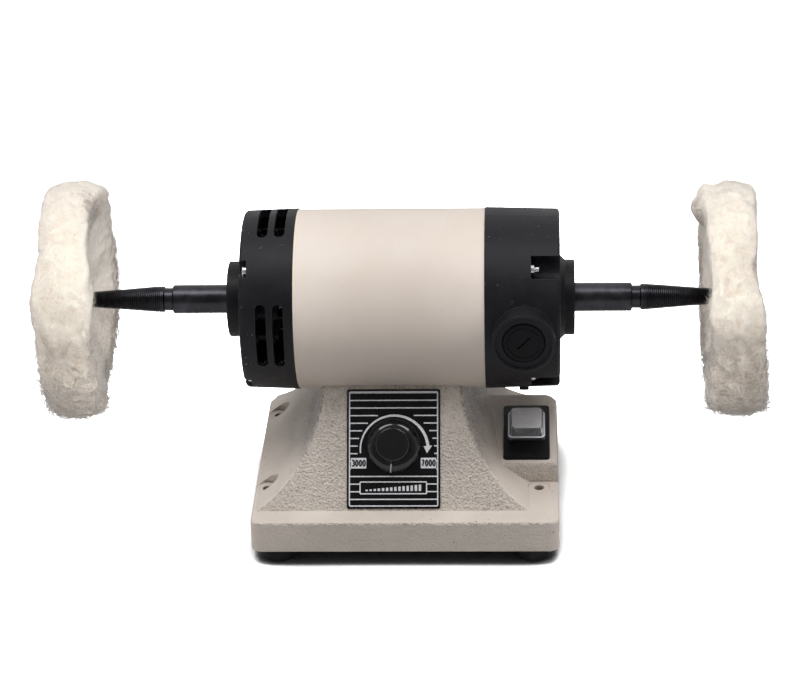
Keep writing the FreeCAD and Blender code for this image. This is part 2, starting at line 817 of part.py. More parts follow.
def cable_gland():
    """Rubber bushing in the rear wall, with the bore for the mains lead."""
    outside = base_rear_y
    inside = outside - base_wall
    gland = union([
        gland_ring(gland_radius, inside, outside),
        gland_ring(gland_flange_radius, outside, outside + gland_flange),
        gland_ring(gland_inner_radius, inside - gland_inner_length, inside),
    ])
    lip = [edge for edge in gland.Edges if edge.BoundBox.YMin > outside + gland_flange - hair]
    gland = gland.makeFillet(gland_edge, lip)
    low = inside - gland_inner_length - past
    return gland.cut(gland_ring(gland_bore, low, outside + gland_flange + past))


# ---- speed panel and knob ---------------------------------------------------------------------
def speed_panel():
    """Thin dial plate on the slope, drilled for the potentiometer."""
    plate = slab(panel_width, panel_length, panel_thickness, panel_corner)
    plate.translate(Vector(0, -knob_above_middle, 0))
    return on_slope(plate.cut(cylinder(pot_neck_radius, -past, panel_thickness + past)))


def knob_skirt(low):
    """Domed skirt that rises from an upright edge to the foot of the grip."""
    rim = Vector(knob_skirt_radius, 0, low + knob_skirt_rim)
    foot = Vector(knob_grip_radius, 0, low + knob_skirt_height)
    chord = foot - rim
    bulge = Vector(chord.z, 0, -chord.x).normalize() * knob_skirt_crown
    edges = [
        Part.makeLine(Vector(0, 0, low), Vector(knob_skirt_radius, 0, low)),
        Part.makeLine(Vector(knob_skirt_radius, 0, low), rim),
        Part.Arc(rim, (rim + foot) * 0.5 + bulge, foot).toShape(),
        Part.makeLine(foot, Vector(0, 0, foot.z)),
        Part.makeLine(Vector(0, 0, foot.z), Vector(0, 0, low)),
    ]
    return Part.Face(Part.Wire(edges)).revolve(Vector(), Vector(0, 0, 1), 360)


def speed_knob():
    """Skirted knob with a fluted, slightly tapered grip, hollow underneath."""
    low = panel_thickness + knob_gap
    top = low + knob_height
    skirt_top = low + knob_skirt_height
    grip_low = Vector(0, 0, skirt_top)
    grip = Part.makeCone(knob_grip_radius, knob_grip_top_radius, top - skirt_top, grip_low)
    crown = [edge for edge in grip.Edges if edge.BoundBox.ZMin > top - hair]
    grip = grip.makeFillet(knob_edge, crown)
    reach = knob_grip_radius + knob_flute_offset
    for number in range(knob_flutes):
        turn = 2 * math.pi * number / knob_flutes
        x = reach * math.cos(turn)
        y = reach * math.sin(turn)
        grip = grip.cut(cylinder(knob_flute_radius, skirt_top, top + past, x, y))
    knob = knob_skirt(low).fuse(grip)
    knob = knob.cut(cylinder(knob_cavity_radius, low - past, low + knob_cavity_depth))
    return on_slope(knob.cut(cylinder(pot_shaft_radius, low, low + knob_bore_depth)))


def potentiometer_shaft():
    """Shaft from inside the potentiometer up into the knob."""
    low = -pedestal_wall - pot_shaft_seat
    return on_slope(cylinder(pot_shaft_radius, low, panel_thickness + knob_gap + knob_bore_depth))


def speed_potentiometer():
    """Can behind the slope with a threaded neck through it."""
    can = cylinder(pot_radius, -pedestal_wall - pot_depth, -pedestal_wall)
    neck_top = panel_thickness + pot_nut_height + pot_neck_proud
    neck = cylinder(pot_neck_radius, -pedestal_wall, neck_top)
    body = can.fuse(neck)
    floor = -pedestal_wall - pot_shaft_seat - pot_shaft_end_gap
    return on_slope(body.cut(cylinder(pot_shaft_radius + pot_shaft_gap, floor, neck_top + past)))


def potentiometer_nut():
    """Hexagon nut on the neck, hidden in the knob."""
    nut = hexagon(pot_nut_radius, panel_thickness).extrude(Vector(0, 0, pot_nut_height))
    return on_slope(nut.cut(cylinder(pot_neck_radius, 0, panel_thickness + pot_nut_height + past)))


# ---- switch -----------------------------------------------------------------------------------
def switch_opening():
    """Cutter for the switch body's opening in the block and the plate."""
    depth = 3 * block_wall
    height = depth + 2 * switch_plate_thickness
    width = body_width + 2 * body_gap
    length = body_length + 2 * body_gap
    opening = slab(width, length, height, switch_opening_corner, -depth)
    opening.translate(Vector(0, boot_offset, 0))
    return opening


def switch_plate():
    """Black plate on the block, with the switch's cut-out."""
    plate = slab(switch_plate_width, switch_plate_length, switch_plate_thickness, switch_plate_corner)
    upper = [edge for edge in plate.Edges if edge.BoundBox.ZMin > switch_plate_thickness - hair]
    plate = plate.makeFillet(switch_plate_edge, upper)
    return on_block(plate.cut(switch_opening()))


def frame_top():
    """Height of the switch frame's upper face above the block."""
    return switch_plate_thickness + frame_height


def switch_body():
    """Open-topped box through the plate, with a frame that rests on the plate."""
    body = slab(body_width, body_length, body_depth + switch_plate_thickness, body_corner, -body_depth)
    inset = 2 * (boot_wall + frame_gap)
    rim = slab(boot_width - inset, boot_length - inset, frame_height, frame_corner, switch_plate_thickness)
    body = body.fuse(rim)
    floor = -body_depth + body_wall
    well = slab(rocker_width + 2 * well_side_gap, rocker_length + 2 * well_end_gap,
                frame_top() - floor + past, body_corner, floor)
    body = body.cut(well)
    length = body_width - 2 * body_wall
    pin_start = Vector(-length / 2, 0, rocker_pivot_height())
    body = body.cut(Part.makeCylinder(rocker_pin_radius + rocker_pin_gap, length, pin_start, X_DIRECTION))
    body.translate(Vector(0, boot_offset, 0))
    return on_block(body)


def rocker_pivot_height():
    """Height of the rocker's pin above the block."""
    return switch_plate_thickness - rocker_pin_sink


def switch_rocker():
    """Rocker with two sloping halves on a cross pin, resting front end down."""
    crown = frame_top() + rocker_height - frame_height
    half = rocker_length / 2
    pivot = rocker_pivot_height()
    low = pivot - rocker_skirt
    tip = crown - rocker_end_drop
    section = [(-half, low), (half, low), (half, tip), (0, crown - rocker_dip), (-half, tip)]
    points = [Vector(-rocker_width / 2, y, z) for y, z in section]
    rocker = Part.Face(Part.makePolygon(points + points[:1])).extrude(Vector(rocker_width, 0, 0))
    length = body_width - 2 * (body_wall + rocker_pin_end_gap)
    pin = Part.makeCylinder(rocker_pin_radius, length, Vector(-length / 2, 0, pivot), X_DIRECTION)
    rocker = rocker.fuse(pin)
    rocker.rotate(Vector(0, 0, pivot), X_DIRECTION, rocker_rest_tip)
    rocker.translate(Vector(0, boot_offset, 0))
    return on_block(rocker)


def switch_terminals():
    """Blades under the switch body."""
    blades = []
    for i in (-1, 0, 1):
        low = -body_depth - terminal_length
        blade = slab(terminal_width, terminal_thickness, terminal_length, terminal_corner, low)
        blade.translate(Vector(0, boot_offset + i * terminal_pitch, 0))
        blades.append(on_block(blade))
    return Part.makeCompound(blades)


def boot_shell(inset):
    """Outside of the splash boot, or its inside for a positive inset."""
    low = switch_plate_thickness
    corner = boot_corner - inset * (1 - boot_corner_gain)
    foot = slab(boot_width - 2 * inset, boot_length - 2 * inset, boot_foot_height - inset, corner, low)
    step = low + boot_foot_height - inset
    top = low + boot_height - inset
    sizes = [(boot_width - 2 * boot_ledge_x, boot_length - 2 * boot_ledge_y, step),
             (boot_top_width, boot_top_length, top)]
    sections = []
    for x_size, y_size, z in sizes:
        face = rectangle(x_size - 2 * inset, y_size - 2 * inset, corner, z)
        sections.append(face.OuterWire)
    dome = Part.makeLoft(sections, True, True)
    return foot.fuse(dome)


def switch_boot():
    """Clear splash boot over the rocker, a thin shell that is open below."""
    outside = boot_shell(0)
    top = switch_plate_thickness + boot_height
    rim = [edge for edge in outside.Edges if edge.BoundBox.ZMin > top - hair]
    outside = outside.makeFillet(boot_edge, rim)
    boot = outside.cut(boot_shell(boot_wall))
    boot.translate(Vector(0, boot_offset, 0))
    return on_block(boot)


# ---- motor tube and end covers ----------------------------------------------------------------
def motor_tube():
    """Steel tube with holes for the saddle bolts and the leads."""
    tube = axial(left_joint_x, right_joint_x, tube_radius, tube_bore)
    tube = tube.cut(lead_hole(grommet_radius))
    for side in (-1, 1):
        x = tube_middle_x + side * saddle_bolt_spread
        tube = tube.cut(cylinder(saddle_bolt_radius, pad_height, axis_height, x, axis_y))
    return tube


def cover_shell(outward, joint_x, length, boss_height, boss_flare):
    """A drafted cup with a bearing boss; outward is -1 for the left cover and 1 for the right."""
    def along(distance):
        return joint_x + outward * distance

    end_radius = cover_radius - cover_draft
    shell = turned([
        (along(0), 0), (along(0), cover_radius), (along(length), end_radius),
        (along(length), boss_radius + boss_flare), (along(length + boss_flare), boss_radius),
        (along(length + boss_height), boss_radius), (along(length + boss_height), 0),
    ])
    shell = shell.makeFillet(cover_edge_radius, circles(shell, end_radius, along(length)))
    shell = shell.makeFillet(boss_edge, circles(shell, boss_radius, along(length + boss_height)))
    seat_start = length + boss_height - boss_front_wall - bearing_width
    hub_start = min(seat_start, length - cover_end_wall) - hub_floor
    inner_end = cover_bore - cover_draft
    hollow = turned([
        (along(-past), 0), (along(-past), cover_bore), (along(length - cover_end_wall), inner_end),
        (along(length - cover_end_wall), hub_radius), (along(hub_start), hub_radius), (along(hub_start), 0),
    ])
    shell = shell.cut(hollow)
    spigot_outer = tube_bore - spigot_gap
    spigot = turned([
        (along(-spigot_length), spigot_outer - spigot_wall), (along(-spigot_length), spigot_outer),
        (along(0), spigot_outer), (along(spigot_root), cover_bore + past),
        (along(2 * spigot_root), cover_bore - past / 2), (along(spigot_root), spigot_outer - spigot_wall),
    ])
    shell = shell.fuse(spigot)
    low, high = sorted((along(seat_start - 2 * past), along(length + boss_height - boss_front_wall)))
    shell = shell.cut(axial(low, high, bearing_radius))
    low, high = sorted((along(seat_start), along(length + boss_height + past)))
    return shell.cut(axial(low, high, shaft_hole_radius))


def tie_seats(shell, outward, joint_x, length, notch_depth, notch_radius):
    """Add the posts for the tie bolts and cut their notches and holes."""
    def span(start, end):
        return sorted((joint_x + outward * start, joint_x + outward * end))

    envelope_low, envelope_high = span(0, length)
    envelope = axial(envelope_low, envelope_high, cover_bore)
    floor = length - notch_depth
    additions = []
    for angle in tie_angles:
        low, high = span(floor - notch_floor, length - past)
        lining = long_rod(notch_radius + notch_lining, low, high, angle, tie_circle_radius)
        post = long_rod(tie_post_radius, *span(0, floor), angle, tie_circle_radius)
        additions.append(lining.fuse(post).common(envelope))
    shell = union([shell] + additions)
    for angle in tie_angles:
        low, high = span(floor, length + past)
        notch = long_rod(notch_radius, low, high, angle, tie_circle_radius)
        mouth = block(low, high, axis_y - cover_radius - past, axis_y - tie_circle_radius,
                      axis_height - notch_radius, axis_height + notch_radius)
        shell = shell.cut(notch.fuse(about_axis(mouth, angle)))
        low, high = span(-spigot_length - past, length)
        shell = shell.cut(long_rod(tie_radius + tie_gap, low, high, angle, tie_circle_radius))
    return shell


def vent_slot(from_end):
    """Cutter for one slot: a bar with round ends that points to the front."""
    x = left_end_x + from_end
    slot = slab(vent_width, vent_length, cover_radius, vent_width / 2 - hair)
    slot.rotate(Vector(), X_DIRECTION, 90)
    slot.translate(Vector(x, axis_y - hub_radius * 2, axis_height))
    return slot


def left_end_cover():
    """Fan-end cover: four groups of vents, webs behind them, bearing boss and bolt notches."""
    shell = cover_shell(-1, left_joint_x, left_cover_length, left_boss_height, left_boss_flare)
    webs = []
    for angle in vent_angles:
        for side in (-1, 1):
            z = axis_height + side * web_offset
            low = left_end_x + web_root
            web = block(low, low + web_length, axis_y - web_reach, axis_y - hub_radius + 2 * web_root,
                        z - web_thickness / 2, z + web_thickness / 2)
            webs.append(about_axis(web, angle))
    shell = union([shell] + webs)
    seat_low = left_face_x + boss_front_wall
    shell = shell.cut(axial(seat_low, left_joint_x, bearing_radius))
    shell = tie_seats(shell, -1, left_joint_x, left_cover_length, left_notch_depth, left_notch_radius)
    for angle in vent_angles:
        for from_end in vent_from_end:
            shell = shell.cut(about_axis(vent_slot(from_end), angle))
    return shell


def right_end_cover():
    """Commutator-end cover: brush bosses at front and rear, bearing boss and bolt channels."""
    shell = cover_shell(1, right_joint_x, right_cover_length, right_boss_height, right_boss_flare)
    start = math.sqrt(cover_bore ** 2 - brush_boss_radius ** 2) - past
    bosses = []
    for angle in (0, 180):
        boss = radial_rod(brush_boss_radius, start, brush_boss_reach, brush_x)
        outer = [edge for edge in boss.Edges if edge.BoundBox.YMax < axis_y - brush_boss_reach + hair]
        bosses.append(about_axis(boss.makeFillet(brush_boss_edge, outer), angle))
    shell = union([shell] + bosses + [cover_pip()])
    shell = tie_seats(shell, 1, right_joint_x, right_cover_length, right_channel_depth, right_channel_radius)
    for angle in (0, 180):
        face = brush_boss_reach + past
        cuts = [
            radial_rod(brush_recess_radius, brush_boss_reach - brush_recess_depth, face, brush_x),
            radial_rod(cap_radius + cap_gap, cap_floor(), face, brush_x),
            radial_rod(holder_flange_radius, cap_floor() - holder_flange, face, brush_x),
            radial_rod(holder_radius, start - 2 * cover_wall, face, brush_x),
        ]
        for cut in cuts:
            shell = shell.cut(about_axis(cut, angle))
    return shell


def cover_pip():
    """Small round pip cast on the underside of the right cover."""
    reach = cover_radius + pip_height
    pip = radial_rod(pip_radius, cover_radius - cover_wall / 2, reach, brush_x)
    outer = [edge for edge in pip.Edges if edge.BoundBox.YMax < axis_y - reach + hair]
    return about_axis(pip.makeFillet(pip_edge, outer), pip_angle)


def cap_floor():
    """Distance of the brush cap's inner face from the motor axis."""
    return brush_boss_reach - cap_seat_depth


def tie_bolts():
    """Long bolts with slotted pan heads in the left cover's notches."""
    seat_x = left_end_x + left_notch_depth
    head_x = seat_x - tie_head_height
    end_x = right_end_x - right_channel_depth + tie_head_height + tie_end
    head = Part.makeCylinder(tie_head_radius, tie_head_height, Vector(head_x, 0, 0), X_DIRECTION)
    head = head.makeFillet(tie_head_edge, circles(head, tie_head_radius, head_x))
    half = tie_slot_width / 2
    reach = tie_head_radius + past
    head = head.cut(block(head_x - past, head_x + tie_slot_depth, -half, half, -reach, reach))
    bolt = head.fuse(Part.makeCylinder(tie_radius, end_x - seat_x, Vector(seat_x, 0, 0), X_DIRECTION))
    bolt.translate(Vector(0, axis_y - tie_circle_radius, axis_height))
    return Part.makeCompound([about_axis(bolt, angle) for angle in tie_angles])


def tie_bolt_nuts():
    """Round nuts on the tie bolts, in the right cover's channels."""
    seat_x = right_end_x - right_channel_depth
    top_x = seat_x + tie_head_height
    nut = long_rod(tie_head_radius, seat_x, top_x, 0, tie_circle_radius)
    nut = nut.makeChamfer(tie_nut_edge, circles(nut, tie_head_radius, top_x))
    nut = nut.cut(long_rod(tie_radius, seat_x - past, top_x + past, 0, tie_circle_radius))
    return Part.makeCompound([about_axis(nut, angle) for angle in tie_angles])


# ---- brushes ----------------------------------------------------------------------------------
def front_and_rear(shape):
    """The front piece and its copy at the rear."""
    return Part.makeCompound([shape, about_axis(shape, 180)])


def brush_bar(thickness, breadth, reach_low, reach_high):
    """A bar that points to the front on the brush's line."""
    return block(brush_x - breadth / 2, brush_x + breadth / 2, axis_y - reach_high, axis_y - reach_low,
                 axis_height - thickness / 2, axis_height + thickness / 2)


def brush_holders():
    """Brass tubes with a rectangular channel and a flange under the cap."""
    tube = radial_rod(holder_radius, holder_inner_end, cap_floor() - holder_flange, brush_x)
    flange = radial_rod(holder_flange_radius, cap_floor() - holder_flange, cap_floor(), brush_x)
    channel = brush_bar(brush_thickness + 2 * brush_gap, brush_breadth + 2 * brush_gap,
                        holder_inner_end - past, cap_floor() + past)
    return front_and_rear(tube.fuse(flange).cut(channel))


def brush_inner_reach():
    """Distance of a brush's face from the motor axis."""
    return commutator_radius + commutator_gap


def carbon_brushes():
    """Carbon blocks whose faces follow the commutator."""
    start = brush_inner_reach()
    brush = brush_bar(brush_thickness, brush_breadth, start - past, start + brush_length)
    return front_and_rear(brush.cut(axial(brush_x - brush_breadth, brush_x + brush_breadth, start)))


def brush_springs():
    """Coil springs of square wire between brush and cap."""
    low = brush_inner_reach() + brush_length
    height = cap_floor() - low - spring_wire * 2
    helix = Part.makeHelix(height / spring_turns, height, spring_radius)
    half = spring_wire / 2
    corners = [Vector(spring_radius + i * half, 0, j * half) for i, j in ((1, 1), (-1, 1), (-1, -1), (1, -1))]
    section = Part.makePolygon(corners + corners[:1])
    spring = Part.Wire(helix.Edges).makePipeShell([section], True, True)
    spring.rotate(Vector(), X_DIRECTION, 90)
    spring.translate(Vector(brush_x, axis_y - low - spring_wire, axis_height))
    return front_and_rear(spring)


def brush_caps():
    """Slotted screw caps with a ring groove, seated in the bosses."""
    top = brush_boss_reach - cap_sink
    cap = radial_rod(cap_radius, cap_floor(), top, brush_x)
    cap = cap.makeFillet(cap_edge, [edge for edge in cap.Edges if edge.BoundBox.YMax < axis_y - top + hair])
    half = cap_groove_width / 2
    groove = radial_rod(cap_groove_radius + half, top - cap_groove_depth, top + past, brush_x)
    groove = groove.cut(radial_rod(cap_groove_radius - half, top - past, top + 2 * past, brush_x))
    slot = block(-cap_slot_length / 2, cap_slot_length / 2, -top - past, -top + cap_slot_depth,
                 -cap_slot_width / 2, cap_slot_width / 2)
    slot.rotate(Vector(), Y_DIRECTION, -cap_slot_turn)
    slot.translate(Vector(brush_x, axis_y, axis_height))
    return front_and_rear(cap.cut(groove).cut(slot))


# ---- stator -----------------------------------------------------------------------------------
def sector(x_low, x_high, inner, outer, degrees):
    """Part of a ring about the motor axis, centred on the front."""
    points = [axis_point + Vector(x_low, 0, inner), axis_point + Vector(x_high, 0, inner),
              axis_point + Vector(x_high, 0, outer), axis_point + Vector(x_low, 0, outer)]
    face = Part.Face(Part.makePolygon(points + points[:1]))
    face.rotate(axis_point, X_DIRECTION, 90 - degrees / 2)
    return face.revolve(axis_point, X_DIRECTION, degrees)


def stator_core():
    """Laminated ring with two poles, and channels that clear the tie bolts."""
    yoke_bore = stator_radius - stator_yoke
    core = axial(stator_left, stator_right, stator_radius, yoke_bore)
    for angle in (0, 180):
        neck = block(stator_left, stator_right, axis_y - yoke_bore - stator_yoke / 4,
                     axis_y - pole_bore - pole_shoe / 2, axis_height - pole_width / 2,
                     axis_height + pole_width / 2)
        shoe = sector(stator_left, stator_right, pole_bore, pole_bore + pole_shoe, pole_span)
        core = union([core, about_axis(neck, angle), about_axis(shoe, angle)])
    for angle in tie_angles:
        core = core.cut(long_rod(tie_radius + stator_tie_gap, stator_left - past, stator_right + past,
                                 angle, tie_circle_radius))
    underside = axis_height - tube_radius
    for side in (-1, 1):
        x = tube_middle_x + side * saddle_bolt_spread
        core = core.cut(cylinder(saddle_bolt_radius, pad_height, underside + saddle_bolt_reach, x, axis_y))
    high = axis_height - yoke_bore + 2 * past
    return core.cut(cylinder(grommet_radius + past, underside, high, tube_middle_x, axis_y))


def field_coils():
    """A saddle coil around each pole."""
    inner_length = stator_length + 2 * coil_gap
    inner_width = pole_width + 2 * coil_gap
    outer_length = inner_length + 2 * coil_overhang
    outer_width = inner_width + 2 * coil_breadth
    low = pole_bore + pole_shoe + coil_gap
    high = stator_radius - stator_yoke - coil_gap
    window = slab(inner_length, inner_width, high + 2 * past, coil_inner_corner, -past)
    ring = slab(outer_length, outer_width, high, coil_outer_corner).cut(window)
    ring.rotate(Vector(), X_DIRECTION, 90)
    ring.translate(Vector(stator_middle_x, axis_y, axis_height))
    reach = outer_length / 2 + past
    space = axial(stator_middle_x - reach, stator_middle_x + reach, high, low)
    coil = ring.common(space)
    return front_and_rear(coil)


# ---- rotor ------------------------------------------------------------------------------------
def rotor_shaft():
    """Stepped shaft with a stub for each spindle."""
    left_shoulder = left_bearing_x + bearing_width / 2
    right_shoulder = right_bearing_x - bearing_width / 2
    left_tip = left_bearing_x - bearing_width / 2 - shaft_stub
    right_tip = right_bearing_x + bearing_width / 2 + shaft_stub
    return turned([
        (left_tip, 0), (left_tip, shaft_radius), (left_shoulder, shaft_radius),
        (left_shoulder, shaft_body_radius), (right_shoulder, shaft_body_radius),
        (right_shoulder, shaft_radius), (right_tip, shaft_radius), (right_tip, 0),
    ])


def armature_core():
    """Laminated drum with open slots."""
    core = axial(stator_left, stator_right, armature_radius, shaft_body_radius)
    for number in range(armature_slots):
        slot = block(stator_left - past, stator_right + past, axis_y - armature_radius - past,
                     axis_y - armature_radius + slot_depth, axis_height - slot_width / 2,
                     axis_height + slot_width / 2)
        core = core.cut(about_axis(slot, 360 * number / armature_slots))
    return core


def armature_windings():
    """Coil sides in the slots and the end turns that join them."""
    inner = armature_radius - slot_depth + winding_gap
    outer = armature_radius - winding_sink
    crown = winding_end_crown
    low = stator_left - winding_root
    high = stator_right + winding_root
    inside_end_turns = axial(low, high, winding_end_radius - hair)
    pieces = []
    for inward, x in ((1, stator_left), (-1, stator_right)):
        end = x - inward * winding_end
        pieces.append(turned([
            (x, shaft_body_radius), (x, winding_end_radius), (end + inward * crown, winding_end_radius),
            (end, winding_end_radius - crown), (end, shaft_body_radius + crown),
            (end + inward * crown, shaft_body_radius),
        ]))
    half = slot_width / 2 - winding_gap
    for number in range(armature_slots):
        bar = block(low, high, axis_y - outer, axis_y - inner, axis_height - half, axis_height + half)
        pieces.append(about_axis(bar.common(inside_end_turns), 360 * number / armature_slots))
    return union(pieces)


def commutator():
    """Copper drum cut into bars, with risers towards the windings."""
    low = brush_x - commutator_length / 2
    high = brush_x + commutator_length / 2
    drum = turned([
        (low, shaft_body_radius), (low, riser_radius), (low + riser_length, riser_radius),
        (low + riser_length, commutator_radius), (high, commutator_radius), (high, shaft_body_radius),
    ])
    for number in range(commutator_bars):
        groove = block(low - past, high + past, axis_y - riser_radius - past,
                       axis_y - commutator_radius + commutator_groove * 2,
                       axis_height - commutator_groove / 2, axis_height + commutator_groove / 2)
        drum = drum.cut(about_axis(groove, 360 * number / commutator_bars))
    return drum


def cooling_fan():
    """Radial fan: hub, back plate towards the windings, and leaning blades."""
    low = fan_x - fan_width / 2
    high = fan_x + fan_width / 2
    pieces = [
        axial(low, high, fan_hub_radius, shaft_body_radius),
        axial(high - fan_plate, high, fan_radius, shaft_body_radius),
    ]
    for number in range(fan_blades):
        root = fan_hub_radius - fan_blade_root
        blade = block(low, high - fan_plate, axis_y - fan_radius, axis_y - root, axis_height - fan_blade / 2,
                      axis_height + fan_blade / 2)
        blade.rotate(Vector(low, axis_y - root, axis_height), X_DIRECTION, fan_sweep)
        blade = blade.common(axial(low, high, fan_radius - fan_blade_inset, root - fan_blade_root))
        pieces.append(about_axis(blade, 360 * number / fan_blades))
    return union(pieces)


# ---- bearings ---------------------------------------------------------------------------------
def ball_track(x):
    """Ring-shaped groove that the balls roll in."""
    return Part.makeTorus(ball_circle, groove_radius, axis_point + Vector(x, 0, 0), X_DIRECTION)


def bearing_outer(x):
    """Outer ring."""
    half = bearing_width / 2
    return axial(x - half, x + half, bearing_radius, outer_ring_bore).cut(ball_track(x))


def bearing_inner(x):
    """Inner ring."""
    half = bearing_width / 2
    return axial(x - half, x + half, inner_ring_radius, shaft_radius).cut(ball_track(x))


def bearing_balls(x):
    """Balls joined by their cage."""
    cage = axial(x - cage_half_width, x + cage_half_width, cage_outer, cage_inner)
    balls = []
    for number in range(ball_count):
        ball = Part.makeSphere(ball_radius, Vector(x, axis_y - ball_circle, axis_height))
        balls.append(about_axis(ball, 360 * number / ball_count))
    return cage.multiFuse(balls)


# ---- spindles and buffs -----------------------------------------------------------------------
def taper_start():
    """Distance from a boss face to the big end of the taper."""
    return spindle_body + spindle_groove


def taper_radius(distance):
    """Radius of the taper at a distance from its big end."""
    share = distance / taper_length
    return taper_start_radius + (taper_end_radius - taper_start_radius) * share


def spindle(outward, face_x):
    """Socket for the shaft stub, plain body, relief groove and long taper."""
    def along(distance):
        return face_x + outward * distance

    nose = -boss_front_wall
    edge = spindle_edge
    taper = taper_start()
    body = turned([
        (along(nose), shaft_radius), (along(nose), spindle_nose_radius),
        (along(nose + spindle_nose), spindle_nose_radius),
        (along(nose + spindle_nose), spindle_radius - edge),
        (along(nose + spindle_nose + edge), spindle_radius), (along(spindle_body - edge), spindle_radius),
        (along(spindle_body), spindle_radius - edge), (along(spindle_body), spindle_groove_radius),
        (along(taper - edge), spindle_groove_radius), (along(taper), taper_start_radius),
        (along(taper + taper_length - edge), taper_radius(taper_length - edge)),
        (along(taper + taper_length), taper_end_radius - edge), (along(taper + taper_length), 0),
        (along(nose + shaft_stub), 0), (along(nose + shaft_stub), shaft_radius),
    ])
    x = along(set_screw_from_boss)
    for angle in set_screw_angles:
        hole = radial_rod(set_screw_radius, shaft_radius - past, spindle_radius + past, x)
        body = body.cut(about_axis(hole, angle))
    return body


def spindle_set_screws():
    """Two socket screws in each spindle."""
    screws = []
    for outward, face_x in ((-1, left_face_x), (1, right_face_x)):
        x = face_x + outward * set_screw_from_boss
        top = spindle_radius - set_screw_sink
        socket = hexagon(set_screw_socket_radius, 0).extrude(Vector(0, 0, set_screw_socket_depth + past))
        socket.rotate(Vector(), X_DIRECTION, 90)
        socket.translate(Vector(x, axis_y - top + set_screw_socket_depth, axis_height))
        screw = radial_rod(set_screw_radius, shaft_radius, top, x).cut(socket)
        screws += [about_axis(screw, angle) for angle in set_screw_angles]
    return Part.makeCompound(screws)


def wheel(centre):
    """Cotton buff: crowned tread, dished sides and a hole for its hub."""
    half = wheel_width / 2
    hub_half = wheel_hub_width / 2
    shoulder = wheel_radius - wheel_crown

    def point(x, radius):
        return axis_point + Vector(centre + x, 0, radius)

    corners = [point(-half, shoulder), point(-half, wheel_dish_radius), point(-hub_half, wheel_dish_floor),
               point(-hub_half, hub_core_radius), point(hub_half, hub_core_radius),
               point(hub_half, wheel_dish_floor), point(half, wheel_dish_radius), point(half, shoulder)]
    tread = Part.Arc(point(-half, shoulder), point(0, wheel_radius), point(half, shoulder)).toShape()
    outline = Part.Wire([Part.makeLine(a, b) for a, b in zip(corners, corners[1:])] + [tread])
    buff = Part.Face(outline).revolve(axis_point, X_DIRECTION, 360)
    rims = circles(buff, shoulder)
    return buff.makeFillet(wheel_edge_radius, rims)


def wheel_hub(outward, face_x, centre):
    """Hub of stacked leather washers, bored to fit the taper where the buff sits."""
    half = wheel_hub_width / 2
    outer = half + hub_flange
    spool = turned([
        (centre - outer, 0), (centre - outer, hub_flange_radius), (centre - half, hub_flange_radius),
        (centre - half, hub_core_radius), (centre + half, hub_core_radius),
        (centre + half, hub_flange_radius), (centre + outer, hub_flange_radius), (centre + outer, 0),
    ])
    big_end = face_x + outward * taper_start()
    tip = big_end + outward * taper_length
    cone = turned([(big_end, 0), (big_end, taper_radius(0)), (tip, taper_radius(taper_length)), (tip, 0)])
    low, high = sorted((tip, centre + outward * outer))
    return spool.cut(cone).cut(axial(low - past, high + past, taper_radius(taper_length)))


# ---- leads and control board ------------------------------------------------------------------
def lead_grommet():
    """Rubber ring that guards the leads between tube and pedestal."""
    low = axis_height - tube_radius - saddle_wall + grommet_low_gap
    high = axis_height - tube_bore - grommet_high_gap
    ring = cylinder(grommet_radius, low, high, tube_middle_x, axis_y)
    return ring.cut(cylinder(grommet_bore, low - past, high + past, tube_middle_x, axis_y))


def saddle_bolts():
    """Bolts from inside the pedestal up through saddle and tube into the stator core."""
    under = axis_height - tube_radius - saddle_wall
    bolts = []
    for side in (-1, 1):
        x = tube_middle_x + side * saddle_bolt_spread
        head = cylinder(saddle_bolt_head_radius, under - saddle_bolt_head_height, under, x, axis_y)
        socket = cylinder(saddle_bolt_socket_radius, under - saddle_bolt_head_height - past,
                          under - saddle_bolt_socket_floor, x, axis_y)
        tip = axis_height - tube_radius + saddle_bolt_reach - screw_tip_gap
        shank = cylinder(saddle_bolt_radius, under, tip, x, axis_y)
        bolts.append(head.cut(socket).fuse(shank))
    return Part.makeCompound(bolts)


def board_bottom():
    """Height of the control board's underside."""
    return plate_bottom + cover_plate_thickness + standoff_height


def speed_circuit_board():
    """Control board under the pedestal."""
    board = slab(board_length, board_width, board_thickness, board_corner, board_bottom())
    board.translate(Vector(tube_middle_x, board_y, 0))
    return board


def circuit_standoffs():
    """Posts between the cover plate and the board."""
    low = plate_bottom + cover_plate_thickness
    posts = []
    for i in (-1, 1):
        for j in (-1, 1):
            x = tube_middle_x + i * (board_length / 2 - standoff_inset)
            y = board_y + j * (board_width / 2 - standoff_inset)
            posts.append(cylinder(standoff_radius, low, board_bottom(), x, y))
    return Part.makeCompound(posts)


def circuit_components():
    """Finned heat sink, capacitor and terminal block on the board."""
    top = board_bottom() + board_thickness
    left = tube_middle_x - board_length / 2
    sink_x = left + heat_sink_x
    sink_top = top + heat_sink_height
    near = board_y + heat_sink_y
    far = near + heat_sink_plate
    sink_parts = [block(sink_x, sink_x + heat_sink_width, near, far, top, sink_top)]
    for fin in range(heat_sink_fins):
        x = sink_x + fin * (heat_sink_width - heat_sink_fin) / (heat_sink_fins - 1)
        sink_parts.append(block(x, x + heat_sink_fin, far, far + heat_sink_reach, top, sink_top))
    start = Vector(left + capacitor_x, board_y + capacitor_y, top + capacitor_radius)
    capacitor = Part.makeCylinder(capacitor_radius, capacitor_length, start, X_DIRECTION)
    x = left + terminal_block_x
    y = board_y + terminal_block_y
    terminals = block(x, x + terminal_block_length, y, y + terminal_block_width, top,
                      top + terminal_block_height)
    return Part.makeCompound([union(sink_parts), capacitor, terminals])


